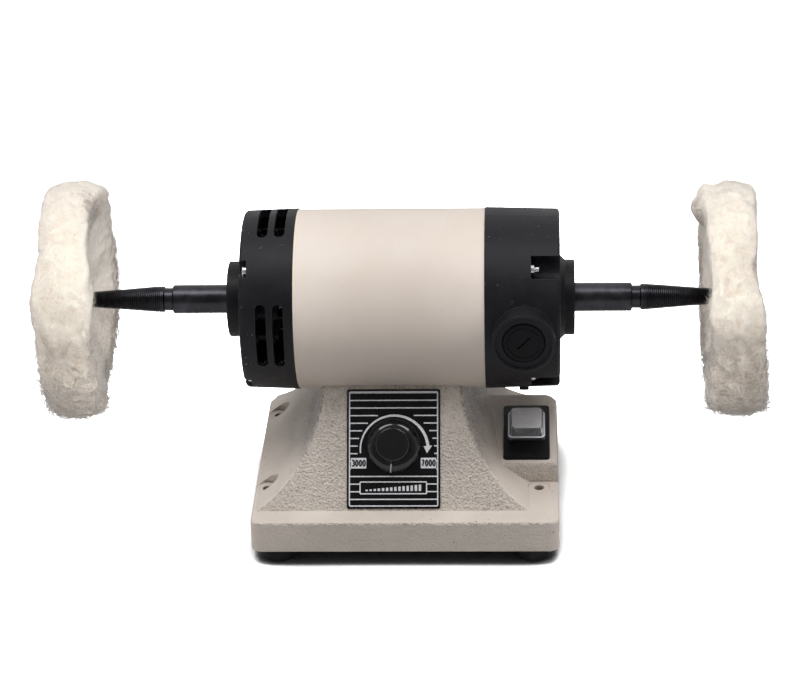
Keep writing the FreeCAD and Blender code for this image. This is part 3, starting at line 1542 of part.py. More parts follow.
# ---- all nodes --------------------------------------------------------------------------------
def nodes():
    """Every node of the machine by name."""
    return {
        "base_casting": base_casting(),
        "bottom_cover_plate": bottom_cover_plate(),
        "rubber_feet": Part.makeCompound([rubber_foot(x, y) for x, y in foot_points()]),
        "foot_screws": Part.makeCompound([foot_screw(x, y) for x, y in foot_points()]),
        "cable_gland": cable_gland(),
        "speed_panel": speed_panel(),
        "speed_knob": speed_knob(),
        "potentiometer_shaft": potentiometer_shaft(),
        "speed_potentiometer": speed_potentiometer(),
        "potentiometer_nut": potentiometer_nut(),
        "switch_plate": switch_plate(),
        "switch_body": switch_body(),
        "switch_terminals": switch_terminals(),
        "switch_rocker": switch_rocker(),
        "switch_boot": switch_boot(),
        "motor_tube": motor_tube(),
        "left_end_cover": left_end_cover(),
        "right_end_cover": right_end_cover(),
        "tie_bolts": tie_bolts(),
        "tie_bolt_nuts": tie_bolt_nuts(),
        "brush_holders": brush_holders(),
        "carbon_brushes": carbon_brushes(),
        "brush_springs": brush_springs(),
        "brush_caps": brush_caps(),
        "stator_core": stator_core(),
        "field_coils": field_coils(),
        "rotor_shaft": rotor_shaft(),
        "armature_core": armature_core(),
        "armature_windings": armature_windings(),
        "commutator": commutator(),
        "cooling_fan": cooling_fan(),
        "left_bearing_outer": bearing_outer(left_bearing_x),
        "left_bearing_inner": bearing_inner(left_bearing_x),
        "left_bearing_balls": bearing_balls(left_bearing_x),
        "right_bearing_outer": bearing_outer(right_bearing_x),
        "right_bearing_inner": bearing_inner(right_bearing_x),
        "right_bearing_balls": bearing_balls(right_bearing_x),
        "left_spindle": spindle(-1, left_face_x),
        "right_spindle": spindle(1, right_face_x),
        "spindle_set_screws": spindle_set_screws(),
        "left_wheel": wheel(left_wheel_x),
        "right_wheel": wheel(right_wheel_x),
        "left_wheel_hub": wheel_hub(-1, left_face_x, left_wheel_x),
        "right_wheel_hub": wheel_hub(1, right_face_x, right_wheel_x),
        "lead_grommet": lead_grommet(),
        "saddle_bolts": saddle_bolts(),
        "speed_circuit_board": speed_circuit_board(),
        "circuit_standoffs": circuit_standoffs(),
        "circuit_components": circuit_components(),
    }


os.makedirs("parts", exist_ok=True)
for node_name, node_shape in nodes().items():
    node_shape.exportStep("parts/" + node_name + ".step")
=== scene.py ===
"""Looks of a bench polishing lathe: finishes, printed dial plate, threads and cotton buffs round the CAD frame."""
import json
import math

import bpy
import numpy as np
from mathutils import Matrix, Vector, noise


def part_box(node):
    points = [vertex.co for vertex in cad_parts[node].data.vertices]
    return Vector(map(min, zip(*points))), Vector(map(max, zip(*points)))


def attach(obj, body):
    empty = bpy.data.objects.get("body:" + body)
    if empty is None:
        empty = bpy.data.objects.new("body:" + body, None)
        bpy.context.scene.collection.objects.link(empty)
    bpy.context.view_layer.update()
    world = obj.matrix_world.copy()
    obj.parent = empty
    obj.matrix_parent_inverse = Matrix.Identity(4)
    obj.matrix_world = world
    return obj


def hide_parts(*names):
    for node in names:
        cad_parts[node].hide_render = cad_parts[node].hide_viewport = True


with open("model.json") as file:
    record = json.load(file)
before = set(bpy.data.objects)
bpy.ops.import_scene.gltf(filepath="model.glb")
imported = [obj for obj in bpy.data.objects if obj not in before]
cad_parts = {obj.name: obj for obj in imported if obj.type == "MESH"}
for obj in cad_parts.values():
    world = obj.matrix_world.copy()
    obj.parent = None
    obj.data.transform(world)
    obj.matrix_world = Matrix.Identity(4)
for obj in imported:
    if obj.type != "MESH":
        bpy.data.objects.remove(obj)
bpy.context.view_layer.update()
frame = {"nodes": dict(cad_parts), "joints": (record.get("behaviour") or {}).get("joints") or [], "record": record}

mm = 0.001

# ---- places taken from the frame --------------------------------------------------------------
joints = {joint["name"]: joint for joint in frame["joints"]}
rotor_axis = Vector(joints["rotor_spin"]["pos_m"])
dial_middle = Vector(joints["speed_knob_turn"]["pos_m"])
dial_out = -Vector(joints["speed_knob_turn"]["axis"])
dial_right = Vector((1, 0, 0))
dial_up = dial_out.cross(dial_right)
mounts = {mount["name"]: mount for mount in frame["record"]["mounts"]}
plate_top = mounts["bench_holes"]["pos_m"][2] + 0.3 * mm

# ---- camera -----------------------------------------------------------------------------------
camera_place = Vector((0.0851, -1.6844, 0.9750))
camera_target = Vector((-0.00248, 0.0084, 0.11173))
camera_roll = math.radians(-1.619)
camera_lens = 125.81            # mm, for a sensor 36 mm wide


def make_camera():
    """Camera at the photograph's angle, with its small roll."""
    data = bpy.data.cameras.new("camera")
    data.lens = camera_lens
    data.sensor_width = 36
    data.clip_end = 50
    back = (camera_place - camera_target).normalized()
    right = Vector((0, 0, 1)).cross(back).normalized()
    up = back.cross(right)
    rolled_right = right * math.cos(camera_roll) + up * math.sin(camera_roll)
    rolled_up = up * math.cos(camera_roll) - right * math.sin(camera_roll)
    camera = bpy.data.objects.new("camera", data)
    turn = Matrix((rolled_right, rolled_up, back)).transposed()
    camera.matrix_world = Matrix.Translation(camera_place) @ turn.to_4x4()
    bpy.context.scene.collection.objects.link(camera)
    bpy.context.scene.camera = camera


# ---- finishes ---------------------------------------------------------------------------------
def colour(code):
    """Linear colour, with alpha 1, of a display colour such as D2C7BC."""
    parts = [int(code[i:i + 2], 16) / 255 for i in (0, 2, 4)]
    return tuple(p / 12.92 if p < 0.04045 else ((p + 0.055) / 1.055) ** 2.4 for p in parts) + (1,)


class Finish:
    """A material and the nodes that make it. Its textures are fixed to the object."""

    def __init__(self, name, **sockets):
        self.material = bpy.data.materials.new(name)
        self.material.use_nodes = True
        self.tree = self.material.node_tree
        self.shader = self.tree.nodes["Principled BSDF"]
        self.place = self.add("TexCoord").outputs["Object"]
        self.normal = self.add("NewGeometry").outputs["Normal"]
        self.put(**{name.replace("_", " "): value for name, value in sockets.items()})

    def add(self, kind, sockets=None, **settings):
        """A new node; its inputs are named or numbered, and get a value or a link."""
        node = self.tree.nodes.new("ShaderNode" + kind)
        for name, value in settings.items():
            setattr(node, name, value)
        self.fill(node, sockets or {})
        return node

    def fill(self, node, sockets):
        """Set or link a node's inputs."""
        for name, value in sockets.items():
            if isinstance(value, bpy.types.NodeSocket):
                self.tree.links.new(value, node.inputs[name])
            else:
                node.inputs[name].default_value = value

    def put(self, **sockets):
        """Set or link the shader's own inputs."""
        self.fill(self.shader, sockets)

    def stretched(self, x, y, z):
        """Coordinates scaled along each axis."""
        return self.add("Mapping", {"Vector": self.place, "Scale": (x, y, z)}).outputs[0]

    def noise(self, scale, detail=3.0, roughness=0.5, distortion=0.0, place=None):
        """Cloudy noise from 0 to 1, with so many clouds per metre."""
        sockets = {"Vector": place or self.place, "Scale": scale, "Detail": detail,
                   "Roughness": roughness, "Distortion": distortion}
        return self.add("TexNoise", sockets).outputs["Fac"]

    def cells(self, scale, smoothness=0.6, place=None):
        """Distance to the middle of round cells."""
        sockets = {"Vector": place or self.place, "Scale": scale, "Smoothness": smoothness}
        return self.add("TexVoronoi", sockets, feature="SMOOTH_F1").outputs["Distance"]

    def span(self, value, low, high, new_low=0.0, new_high=1.0):
        """A value moved from one range to another, with its ends held."""
        sockets = {"Value": value, "From Min": low, "From Max": high, "To Min": new_low, "To Max": new_high}
        return self.add("MapRange", sockets, interpolation_type="SMOOTHSTEP").outputs["Result"]

    def sum(self, operation, first, second):
        """One sum of two values."""
        return self.add("Math", {0: first, 1: second}, operation=operation).outputs[0]

    def facing(self, direction, low, high):
        """1 where the surface faces a direction, 0 where its cosine is under low."""
        dot = self.add("VectorMath", {0: self.normal, 1: direction}, operation="DOT_PRODUCT")
        return self.span(dot.outputs["Value"], low, high)

    def edges(self, radius, edge_falloff=0.25):
        """1 along edges, 0 on the faces between them."""
        soft = self.add("Bevel", {"Radius": radius}, samples=4).outputs["Normal"]
        dot = self.add("VectorMath", {0: soft, 1: self.normal}, operation="DOT_PRODUCT")
        return self.span(dot.outputs["Value"], 1 - edge_falloff * 0.1, 1 - edge_falloff, 0.0, 1.0)

    def hollows(self, reach):
        """1 deep in holes and corners, 0 in the open."""
        openness = self.add("AmbientOcclusion", {"Distance": reach}, samples=8).outputs["AO"]
        return self.span(openness, 0.12, 0.62, 1.0, 0.0)

    def mixed(self, share, first, second):
        """A colour between two others."""
        node = self.add("Mix", {0: share, 6: first, 7: second}, data_type="RGBA")
        return node.outputs[2]

    def bumped(self, height, depth, under=None):
        """Surface normal bent by a height from 0 to 1 that stands for a depth in metres."""
        sockets = {"Height": height, "Distance": depth}
        if under is not None:
            sockets["Normal"] = under
        return self.add("Bump", sockets).outputs["Normal"]

    def rounded(self, radius):
        """Surface normal with its edges rounded off."""
        return self.add("Bevel", {"Radius": radius}, samples=4).outputs["Normal"]


def cast_paint():
    """Cream paint on the casting: pebbled on the front slope and block, smoother elsewhere. Painted shade darkens
    its holes and corners, the pebbles' low spots and blotches on the sides under the motor; its lighter edges are
    partly rubbing and partly a painted highlight.
    """
    f = Finish("cast_paint", IOR=1.46)
    slope = f.facing(tuple(dial_out), 0.84, 0.96)
    front = f.facing((0, -1, 0), 0.9, 0.99)
    height = f.add("SeparateXYZ", {0: f.place}).outputs["Z"]
    above_plate = f.span(height, plate_top, plate_top + 1.5 * mm)
    skirt = f.sum("MULTIPLY", front, f.span(above_plate, 0, 1, 0.3, 1.0))
    pebbled = f.sum("MAXIMUM", slope, skirt)
    steep = f.sum("MULTIPLY", f.facing((0, 0, 1), 0.99, 0.9), above_plate)
    flank = f.sum("MULTIPLY", steep, f.sum("SUBTRACT", 1.0, f.sum("MAXIMUM", slope, front)))
    # height band under the motor, where its shadow falls
    shaded = f.span(height, 46 * mm, 78 * mm)
    pebbled = f.sum("MAXIMUM", pebbled, f.sum("MULTIPLY", flank, f.span(shaded, 0, 1, 0.25, 0.85)))
    worms = f.noise(480, 3, 0.6, 1.2)
    pebbles = f.sum("ADD", f.sum("MULTIPLY", f.cells(620, 0.6), 0.7), worms)
    strength = f.span(pebbled, 0, 1, 0.05, 1.0)
    normal = f.bumped(f.noise(60, 2, 0.5), 0.5 * mm, f.rounded(0.9 * mm))
    normal = f.bumped(f.sum("MULTIPLY", pebbles, strength), 1.8 * mm, normal)
    normal = f.bumped(f.noise(1500, 2, 0.6), 0.05 * mm, normal)
    cloud = f.noise(24, 3, 0.55)
    clean = f.mixed(f.span(cloud, 0.35, 0.7), colour("CDC3B9"), colour("D6CCC2"))
    pits = f.sum("MULTIPLY", f.span(f.noise(300, 2, 0.4), 0.69, 0.75), f.span(f.noise(21, 1), 0.46, 0.56))
    spotted = f.mixed(f.sum("MULTIPLY", pits, 0.6), clean, colour("6F655B"))
    # painted shade: darker blotches on the sides in the band under the motor's shadow
    mottle = f.span(f.sum("ADD", f.noise(560, 2, 0.5), f.sum("MULTIPLY", f.noise(70, 2, 0.5), 0.5)), 0.68, 0.84)
    sides = f.sum("MAXIMUM", f.facing((1, 0, 0), 0.12, 0.45), f.facing((-1, 0, 0), 0.12, 0.45))
    painted_shade_blotches = f.sum("MULTIPLY", f.sum("MULTIPLY", sides, shaded), f.span(mottle, 0, 1, 0.12, 0.7))
    spotted = f.mixed(painted_shade_blotches, spotted, colour("7E777B"))
    # painted shade: darker in the low spots of the pebbling
    painted_pebble_shade = f.sum("MULTIPLY", f.span(pebbles, 0.78, 0.52), pebbled)
    base = f.mixed(f.sum("MULTIPLY", painted_pebble_shade, 0.4), spotted, colour("8F857C"))
    # lighter edges: partly rubbing, partly a painted highlight
    base = f.mixed(f.sum("MULTIPLY", f.edges(1.4 * mm), 0.3), base, colour("E4DBD2"))
    # painted shade: darker in holes and corners
    base = f.mixed(f.sum("MULTIPLY", f.hollows(12 * mm), 0.75), base, colour("4A3F36"))
    f.put(**{"Base Color": base, "Specular IOR Level": 0.4})
    f.put(Roughness=f.span(cloud, 0.3, 0.7, 0.42, 0.55), Normal=normal)
    return f.material


def tube_paint():
    """Smooth satin cream paint on the motor tube, with a painted highlight along its left end."""
    f = Finish("tube_paint", IOR=1.46)
    cloud = f.noise(16, 3, 0.5)
    specks = f.span(f.noise(420, 1, 0.3), 0.74, 0.8)
    base = f.mixed(f.span(cloud, 0.35, 0.68), colour("D9CDC2"), colour("DED3C9"))
    base = f.mixed(f.sum("MULTIPLY", specks, 0.3), base, colour("B7AA9D"))
    # painted highlight: a bright cream line along the tube's left end, beside the cover
    left_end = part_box("motor_tube")[0].x
    along = f.add("SeparateXYZ", {0: f.place}).outputs["X"]
    rim = f.span(along, left_end + 0.7 * mm, left_end + 1.5 * mm, 0.75, 0.0)
    f.put(**{"Base Color": f.mixed(rim, base, colour("F5EBD2"))})
    peel = f.noise(380, 2, 0.5)
    f.put(**{"Specular IOR Level": 0.35})
    f.put(Roughness=f.span(cloud, 0.3, 0.7, 0.4, 0.5), Normal=f.bumped(peel, 0.03 * mm))
    return f.material


def cover_paint():
    """Black satin paint on the end covers, with pale dust specks, scuffs and lighter edges that are partly rubbing
    and partly a painted highlight.
    """
    f = Finish("cover_paint", IOR=1.46)
    cloud = f.noise(40, 4, 0.6)
    scratch_lines = f.noise(60, 3, 0.7, 1.5, f.stretched(1, 9, 3))
    scuffs = f.sum("MULTIPLY", f.span(scratch_lines, 0.66, 0.73), f.span(f.noise(26, 2), 0.5, 0.66))
    dust = f.sum("MULTIPLY", f.span(f.noise(520, 1, 0.3), 0.73, 0.79), f.span(f.noise(30, 1), 0.5, 0.58))
    dusty = f.mixed(f.span(cloud, 0.4, 0.75), colour("131216"), colour("1B1A1E"))
    scuffed = f.mixed(f.sum("MULTIPLY", f.sum("MAXIMUM", scuffs, dust), 0.6), dusty, colour("6E6C71"))
    # lighter edges: partly rubbing, partly a painted highlight
    f.put(**{"Base Color": f.mixed(f.sum("MULTIPLY", f.edges(0.7 * mm), 0.5), scuffed, colour("4E4C51"))})
    grain = f.noise(900, 3, 0.6)
    normal = f.bumped(grain, 0.09 * mm, f.rounded(0.5 * mm))
    f.put(**{"Specular IOR Level": 0.22})
    f.put(Roughness=f.span(cloud, 0.3, 0.75, 0.42, 0.56), Normal=normal)
    return f.material


def turned_metal(name, code, worn, roughness, ring=0.02):
    """Metal turned on a lathe: fine rings round the motor axis and a little colour change."""
    f = Finish(name, Metallic=1.0)
    rings = f.noise(1.0, 2, 0.7, 0.0, f.stretched(2600, 18, 18))
    cloud = f.noise(70, 3, 0.6)
    base = f.mixed(f.span(cloud, 0.4, 0.7), colour(code), colour(worn))
    f.put(**{"Base Color": base})
    f.put(Roughness=f.span(cloud, 0.3, 0.7, roughness * 0.8, roughness * 1.25))
    f.put(Normal=f.bumped(rings, ring * mm, f.rounded(0.3 * mm)))
    return f.material


def plain_metal(name, code, worn, roughness, scale=200):
    """Metal with faint scratches and a cloudy shine."""
    f = Finish(name, Metallic=1.0)
    cloud = f.noise(scale, 4, 0.65)
    lines = f.noise(90, 2, 0.6, 0.6, f.stretched(1, 12, 12))
    f.put(**{"Base Color": f.mixed(f.span(cloud, 0.4, 0.72), colour(code), colour(worn))})
    f.put(Roughness=f.span(cloud, 0.3, 0.7, roughness * 0.75, roughness * 1.3))
    f.put(Normal=f.bumped(lines, 0.012 * mm, f.rounded(0.25 * mm)))
    return f.material


def moulded(name, code, worn, roughness, grain=0.04, edge=0.25, gloss=0.35):
    """Moulded plastic or rubber: fine grain, cloudy shine and paler edges that are partly rubbing and partly a
    painted highlight.
    """
    f = Finish(name, IOR=1.5)
    f.put(**{"Specular IOR Level": gloss})
    cloud = f.noise(120, 3, 0.6)
    base = f.mixed(f.span(cloud, 0.4, 0.72), colour(code), colour(worn))
    # paler edges: partly rubbing, partly a painted highlight
    f.put(**{"Base Color": f.mixed(f.sum("MULTIPLY", f.edges(0.4 * mm), edge), base, colour("5A585D"))})
    f.put(Roughness=f.span(cloud, 0.3, 0.7, roughness * 0.85, roughness * 1.2))
    f.put(Normal=f.bumped(f.noise(1400, 2, 0.6), grain * mm, f.rounded(0.3 * mm)))
    return f.material


def knob_plastic():
    """Black knob: glossy skirt, and a grip that handling has dulled."""
    f = Finish("knob_plastic", IOR=1.5)
    f.put(**{"Specular IOR Level": 0.5})
    offset = f.add("VectorMath", {0: f.place, 1: tuple(dial_middle)}, operation="SUBTRACT").outputs[0]
    across = f.add("VectorMath", {0: offset, 1: tuple(dial_out)}, operation="CROSS_PRODUCT").outputs[0]
    radius = f.add("VectorMath", {0: across}, operation="LENGTH").outputs["Value"]
    skirt = f.span(radius, 12.1 * mm, 12.5 * mm)
    smudge = f.noise(160, 3, 0.6)
    f.put(**{"Base Color": f.mixed(f.span(smudge, 0.4, 0.7), colour("070709"), colour("0C0C0F"))})
    rough = f.sum("ADD", f.span(skirt, 0, 1, 0.2, 0.09), f.span(smudge, 0.45, 0.75, 0.0, 0.06))
    f.put(Roughness=rough, Normal=f.bumped(f.noise(1200, 2, 0.5), 0.006 * mm, f.rounded(0.25 * mm)))
    return f.material


def clear_silicone():
    """Clear silicone of the switch boot, frosted on its top, with a painted highlight of white along its edges near
    the crest.
    """
    f = Finish("clear_silicone", IOR=1.41)
    haze = f.noise(300, 3, 0.6)
    tilt = math.radians(8)
    top = f.facing((0, -math.sin(tilt), math.cos(tilt)), 0.95, 0.995)
    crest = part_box("switch_boot")[1].z
    height = f.add("SeparateXYZ", {0: f.place}).outputs["Z"]
    # painted highlight: the edges near the crest are made white and opaque
    rim = f.sum("MULTIPLY", f.edges(0.8 * mm, 0.3), f.span(height, crest - 5 * mm, crest - 3.5 * mm))
    frosted_top_and_rim_highlight = f.sum("MAXIMUM", top, rim)
    f.put(**{"Transmission Weight": f.span(frosted_top_and_rim_highlight, 0, 1, 0.96, 0.0)})
    clouded = f.mixed(f.span(haze, 0.3, 0.7), colour("F1EFF6"), colour("FAF9FC"))
    f.put(**{"Base Color": f.mixed(f.span(frosted_top_and_rim_highlight, 0, 0.5), colour("F4F4F6"), clouded)})
    f.put(Roughness=f.span(top, 0, 1, 0.06, 0.3), Normal=f.bumped(haze, 0.02 * mm, f.rounded(0.5 * mm)))
    return f.material


def circuit_board():
    """Green lacquer with paler tracks."""
    f = Finish("circuit_board", IOR=1.5)
    tracks = f.add("TexBrick", {"Vector": f.place, "Scale": 120.0, "Mortar Size": 0.06}).outputs["Fac"]
    f.put(**{"Base Color": f.mixed(tracks, colour("1C5A34"), colour("2F7A48"))})
    f.put(Roughness=f.span(f.noise(200), 0.3, 0.7, 0.25, 0.4), Normal=f.bumped(tracks, 0.03 * mm))
    return f.material


def lamination():
    """Edges of stacked electrical sheets across the motor axis."""
    f = Finish("lamination_stack", Metallic=0.8)
    sheets = f.noise(1.0, 1, 0.5, 0.0, f.stretched(2000, 4, 4))
    f.put(**{"Base Color": f.mixed(sheets, colour("4A4643"), colour("8C8884"))})
    f.put(Roughness=f.span(f.noise(150), 0.3, 0.7, 0.4, 0.6), Normal=f.bumped(sheets, 0.12 * mm))
    return f.material


def wound_copper():
    """Enamelled wire, laid in fine turns."""
    f = Finish("wound_copper", Metallic=0.9)
    turns = f.noise(1.0, 1, 0.5, 0.3, f.stretched(1400, 1400, 60))
    f.put(**{"Base Color": f.mixed(turns, colour("8A4B2A"), colour("C27A48"))})
    f.put(Roughness=f.span(f.noise(260), 0.3, 0.7, 0.28, 0.45), Normal=f.bumped(turns, 0.15 * mm))
    return f.material


def cotton(name, code, shade, depth=0.7, painted_shadows=(), crevice_depth=0.0):
    """Matted cotton: tangled fibres, with painted shade where its tangles sink, in its hollows, in crevices below
    the axis and in grey patches at given places.
    """
    f = Finish(name, Roughness=0.95)
    f.put(**{"Sheen Weight": 0.3, "Sheen Roughness": 0.6, "Subsurface Weight": 0.6,
             "Subsurface Scale": 9 * mm, "Subsurface Radius": (1.0, 0.96, 0.92), "Specular IOR Level": 0.05})
    tangle = f.noise(430, 4, 0.65, 2.6)
    clumps = f.noise(120, 3, 0.6, 1.4)
    matted = f.sum("ADD", f.sum("MULTIPLY", tangle, 0.55), f.sum("MULTIPLY", clumps, 0.45))
    # painted shade: darker where the tangles and clumps sink, the same noise as the bump below
    base = f.mixed(f.span(matted, 0.36, 0.54), colour(shade), colour(code))
    # painted shade: darker in hollows
    base = f.mixed(f.sum("MULTIPLY", f.hollows(7 * mm), 0.4), base, colour("C4AE9A"))
    # painted shade: darker crevices below the axis, where less light falls
    height = f.add("SeparateXYZ", {0: f.place}).outputs["Z"]
    below_axis = f.span(height, rotor_axis.z + 5 * mm, rotor_axis.z - 35 * mm)
    crevices = f.sum("MULTIPLY", f.span(f.noise(330, 4, 0.6, 3.2), 0.5, 0.43), below_axis)
    base = f.mixed(f.sum("MULTIPLY", crevices, crevice_depth), base, colour("B3A08F"))
    # painted shadow: grey patches on the upper inner faces of the buffs, where they lie in shade
    for place, reach in painted_shadows:
        away = f.add("VectorMath", {0: f.place, 1: place}, operation="DISTANCE").outputs["Value"]
        patch = f.sum("ADD", away, f.sum("MULTIPLY", f.sum("SUBTRACT", clumps, 0.5), 0.03))
        base = f.mixed(f.span(patch, reach * 0.45, reach, 0.85, 0.0), base, colour("9B8E85"))
    f.put(**{"Base Color": base})
    f.put(Normal=f.bumped(tangle, depth * mm, f.bumped(clumps, depth * 1.3 * mm)))
    return f.material


def leather():
    """Stacked leather washers of the buff hubs."""
    f = Finish("leather_washers", Roughness=0.7)
    layers = f.noise(1.0, 2, 0.5, 0.0, f.stretched(700, 12, 12))
    pores = f.noise(900, 3, 0.6)
    f.put(**{"Base Color": f.mixed(layers, colour("6E4A2E"), colour("A5784F"))})
    f.put(Normal=f.bumped(f.sum("ADD", layers, f.sum("MULTIPLY", pores, 0.4)), 0.2 * mm))
    return f.material


def printed(name, code):
    """Screen print, slightly uneven."""
    f = Finish(name)
    cloud = f.noise(700, 3, 0.6)
    f.put(**{"Base Color": f.mixed(f.span(cloud, 0.3, 0.75, 0.0, 0.35), colour(code), colour("6E6C70"))})
    f.put(Roughness=f.span(cloud, 0.3, 0.7, 0.35, 0.5), Normal=f.bumped(cloud, 0.01 * mm))
    return f.material


def dress_frame():
    """Give every CAD node the finish of its slot, and the motor tube its smoother paint."""
    finishes = {
        "cream_paint": cast_paint(),
        "black_cover": cover_paint(),
        "dark_steel": turned_metal("blued_steel", "363539", "454449", 0.3),
        "bright_steel": turned_metal("ground_steel", "B9BABD", "D2D3D5", 0.24),
        "chrome": plain_metal("chrome_plate", "DADBDD", "EFEFF1", 0.14),
        "brass": plain_metal("plain_brass", "B08A45", "CFA75C", 0.3),
        "copper": wound_copper(),
        "rubber": moulded("black_rubber", "121113", "1B1A1D", 0.7, 0.08, 0.1, 0.25),
        "panel_black": moulded("panel_lacquer", "070708", "0C0C0F", 0.3, 0.012, 0.1, 0.22),
        "knob_black": knob_plastic(),
        "switch_black": moulded("switch_plastic", "0B0A0D", "111014", 0.5, 0.05, 0.3, 0.12),
        "boot_clear": clear_silicone(),
        "grey_plastic": moulded("grey_plastic", "C4C3C6", "D6D5D8", 0.45, 0.04, 0.2),
        "board_green": circuit_board(),
        "carbon": moulded("carbon_block", "1A1A1C", "2C2C2F", 0.55, 0.08, 0.1),
        "sheet_steel": plain_metal("zinc_plate", "A3A4A6", "BFC0C1", 0.36, 60),
        "lamination": lamination(),
        "cotton": cotton("plain_cotton", "EFE4D8", "B9AA9C"),
        "leather": leather(),
    }
    for part in frame["record"]["subparts"]:
        for slot in frame["nodes"][part["node"]].material_slots:
            slot.material = finishes[part["material_slot"]]
    for slot in frame["nodes"]["motor_tube"].material_slots:
        slot.material = tube_paint()
    for slot in frame["nodes"]["commutator"].material_slots:
        slot.material = plain_metal("bare_copper", "B8734A", "CF8A5E", 0.3)


# ---- making pieces ----------------------------------------------------------------------------
def make_piece(name, points, faces, material, body, slot, smooth=False):
    """A mesh in the row frame that rides on a body."""
    mesh = bpy.data.meshes.new(name)
    mesh.from_pydata([tuple(p) for p in points], [], [tuple(int(i) for i in face) for face in faces])
    mesh.validate()
    mesh.shade_smooth() if smooth else mesh.shade_flat()
    mesh.materials.append(material)
    piece = bpy.data.objects.new(name, mesh)
    bpy.context.scene.collection.objects.link(piece)
    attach(piece, body)
    return piece


def spread(node, origin, direction):
    """Lowest and highest place of a CAD node along a direction from an origin."""
    places = [(v.co - origin).dot(direction) for v in frame["nodes"][node].data.vertices]
    return min(places), max(places)


# ---- dial plate -------------------------------------------------------------------------------
print_line = 0.78 * mm
print_height = 0.05 * mm
stripe_pitch = 5.06 * mm
border_inset = 1.3 * mm
border_corner = 1.2 * mm
arc_radius = 22.5 * mm
arc_middle = (0.44 * mm, -2.3 * mm)
arc_start = 186.0               # degrees, counted anticlockwise from the right
arc_end = 6.0
arc_thin = 0.9 * mm
arc_thick = 2.0 * mm
arrow_length = 5.0 * mm
arrow_half_width = 2.9 * mm
gap_middle = (1.5 * mm, -2.3 * mm)
gap_radius = 25.5 * mm          # of the bare plate round the knob
digit_size = (1.4 * mm, 3.75 * mm)
digit_pitch = 2.42 * mm
digit_line = 1.05 * mm
number_size = (10.3 * mm, 7.0 * mm)
number_place = (23.2 * mm, -11.4 * mm)
label_left = -22.6 * mm
label_right = 22.3 * mm
label_low = -32.1 * mm
label_high = -23.5 * mm
label_corner = 1.0 * mm
ramp_bars = 14


class Print:
    """Flat inked shapes on the dial plate, gathered into one mesh."""

    def __init__(self, height):
        self.height = height
        self.points = []
        self.faces = []

    def shape(self, outline):
        """Ink inside a closed outline that runs anticlockwise, as a thin closed solid."""
        start = len(self.points)
        count = len(outline)
        for level in (0, print_height):
            for x, y in outline:
                self.points.append(on_dial(x, y, self.height + level))
        self.faces.append([start + i for i in reversed(range(count))])
        self.faces.append([start + count + i for i in range(count)])
        self.walls(start, start + count, count)

    def walls(self, low, high, count):
        """Side faces between two rings of points."""
        for i in range(count):
            j = (i + 1) % count
            self.faces.append([low + i, low + j, high + j, high + i])

    def bar(self, left, right, low, high):
        """An inked rectangle."""
        self.shape([(left, low), (right, low), (right, high), (left, high)])

    def band(self, outer, inner):
        """Ink between two closed outlines with as many points."""
        start = len(self.points)
        count = len(outer)
        for level in (0, print_height):
            for outline in (outer, inner):
                for x, y in outline:
                    self.points.append(on_dial(x, y, self.height + level))
        low_outer, low_inner, high_outer, high_inner = (start + count * k for k in range(4))
        for i in range(count):
            j = (i + 1) % count
            self.faces.append([high_outer + i, high_outer + j, high_inner + j, high_inner + i])
            self.faces.append([low_outer + j, low_outer + i, low_inner + i, low_inner + j])
            self.faces.append([low_outer + i, low_outer + j, high_outer + j, high_outer + i])
            self.faces.append([low_inner + j, low_inner + i, high_inner + i, high_inner + j])


def on_dial(x, y, height):
    """A point of the dial plate: to the right and up from the knob's axis, and out from the slope."""
    return dial_middle + dial_right * x + dial_up * y + dial_out * height


def rounded_box(left, right, low, high, corner, steps=5):
    """Outline of a box with round corners, anticlockwise."""
    outline = []
    corners = ((right - corner, high - corner, 0), (left + corner, high - corner, 90),
               (left + corner, low + corner, 180), (right - corner, low + corner, 270))
    for x, y, start in corners:
        for step in range(steps + 1):
            turn = math.radians(start + 90 * step / steps)
            outline.append((x + corner * math.cos(turn), y + corner * math.sin(turn)))
    return outline


def frame_line(ink, left, right, low, high, corner, line):
    """A line round a box, drawn inwards."""
    outer = rounded_box(left, right, low, high, corner)
    inner = rounded_box(left + line, right - line, low + line, high - line, max(corner - line, corner * 0.3))
    ink.band(outer, inner)


def arc_edge(angle, radius):
    """A point at an angle and radius from the middle of the dial's arc."""
    turn = math.radians(angle)
    return (arc_middle[0] + radius * math.cos(turn), arc_middle[1] + radius * math.sin(turn))


def dial_arc(ink):
    """The arc that widens clockwise and its arrowhead, as one shape."""
    steps = 60
    outer, inner = [], []
    for step in range(steps + 1):
        share = step / steps
        angle = arc_start + (arc_end - arc_start) * share
        half = (arc_thin + (arc_thick - arc_thin) * share) / 2
        outer.append(arc_edge(angle, arc_radius + half))
        inner.append(arc_edge(angle, arc_radius - half))
    turn = math.degrees(arrow_length / arc_radius)
    tip = arc_edge(arc_end - turn, arc_radius - 0.6 * mm)
    head = [arc_edge(arc_end, arc_radius - arrow_half_width), tip, arc_edge(arc_end, arc_radius + arrow_half_width)]
    for k in range(steps):
        ink.shape([inner[k], inner[k + 1], outer[k + 1], outer[k]])
    ink.shape(head)


def stripe_gap(y):
    """Half width of the bare part of a stripe at a height, about the gap's middle, or 0."""
    rise = y - gap_middle[1]
    low_end = number_place[1] + number_size[1] / 2
    if y < low_end or rise >= gap_radius:
        return 0.0
    return math.sqrt(gap_radius ** 2 - max(rise, 0.0) ** 2)


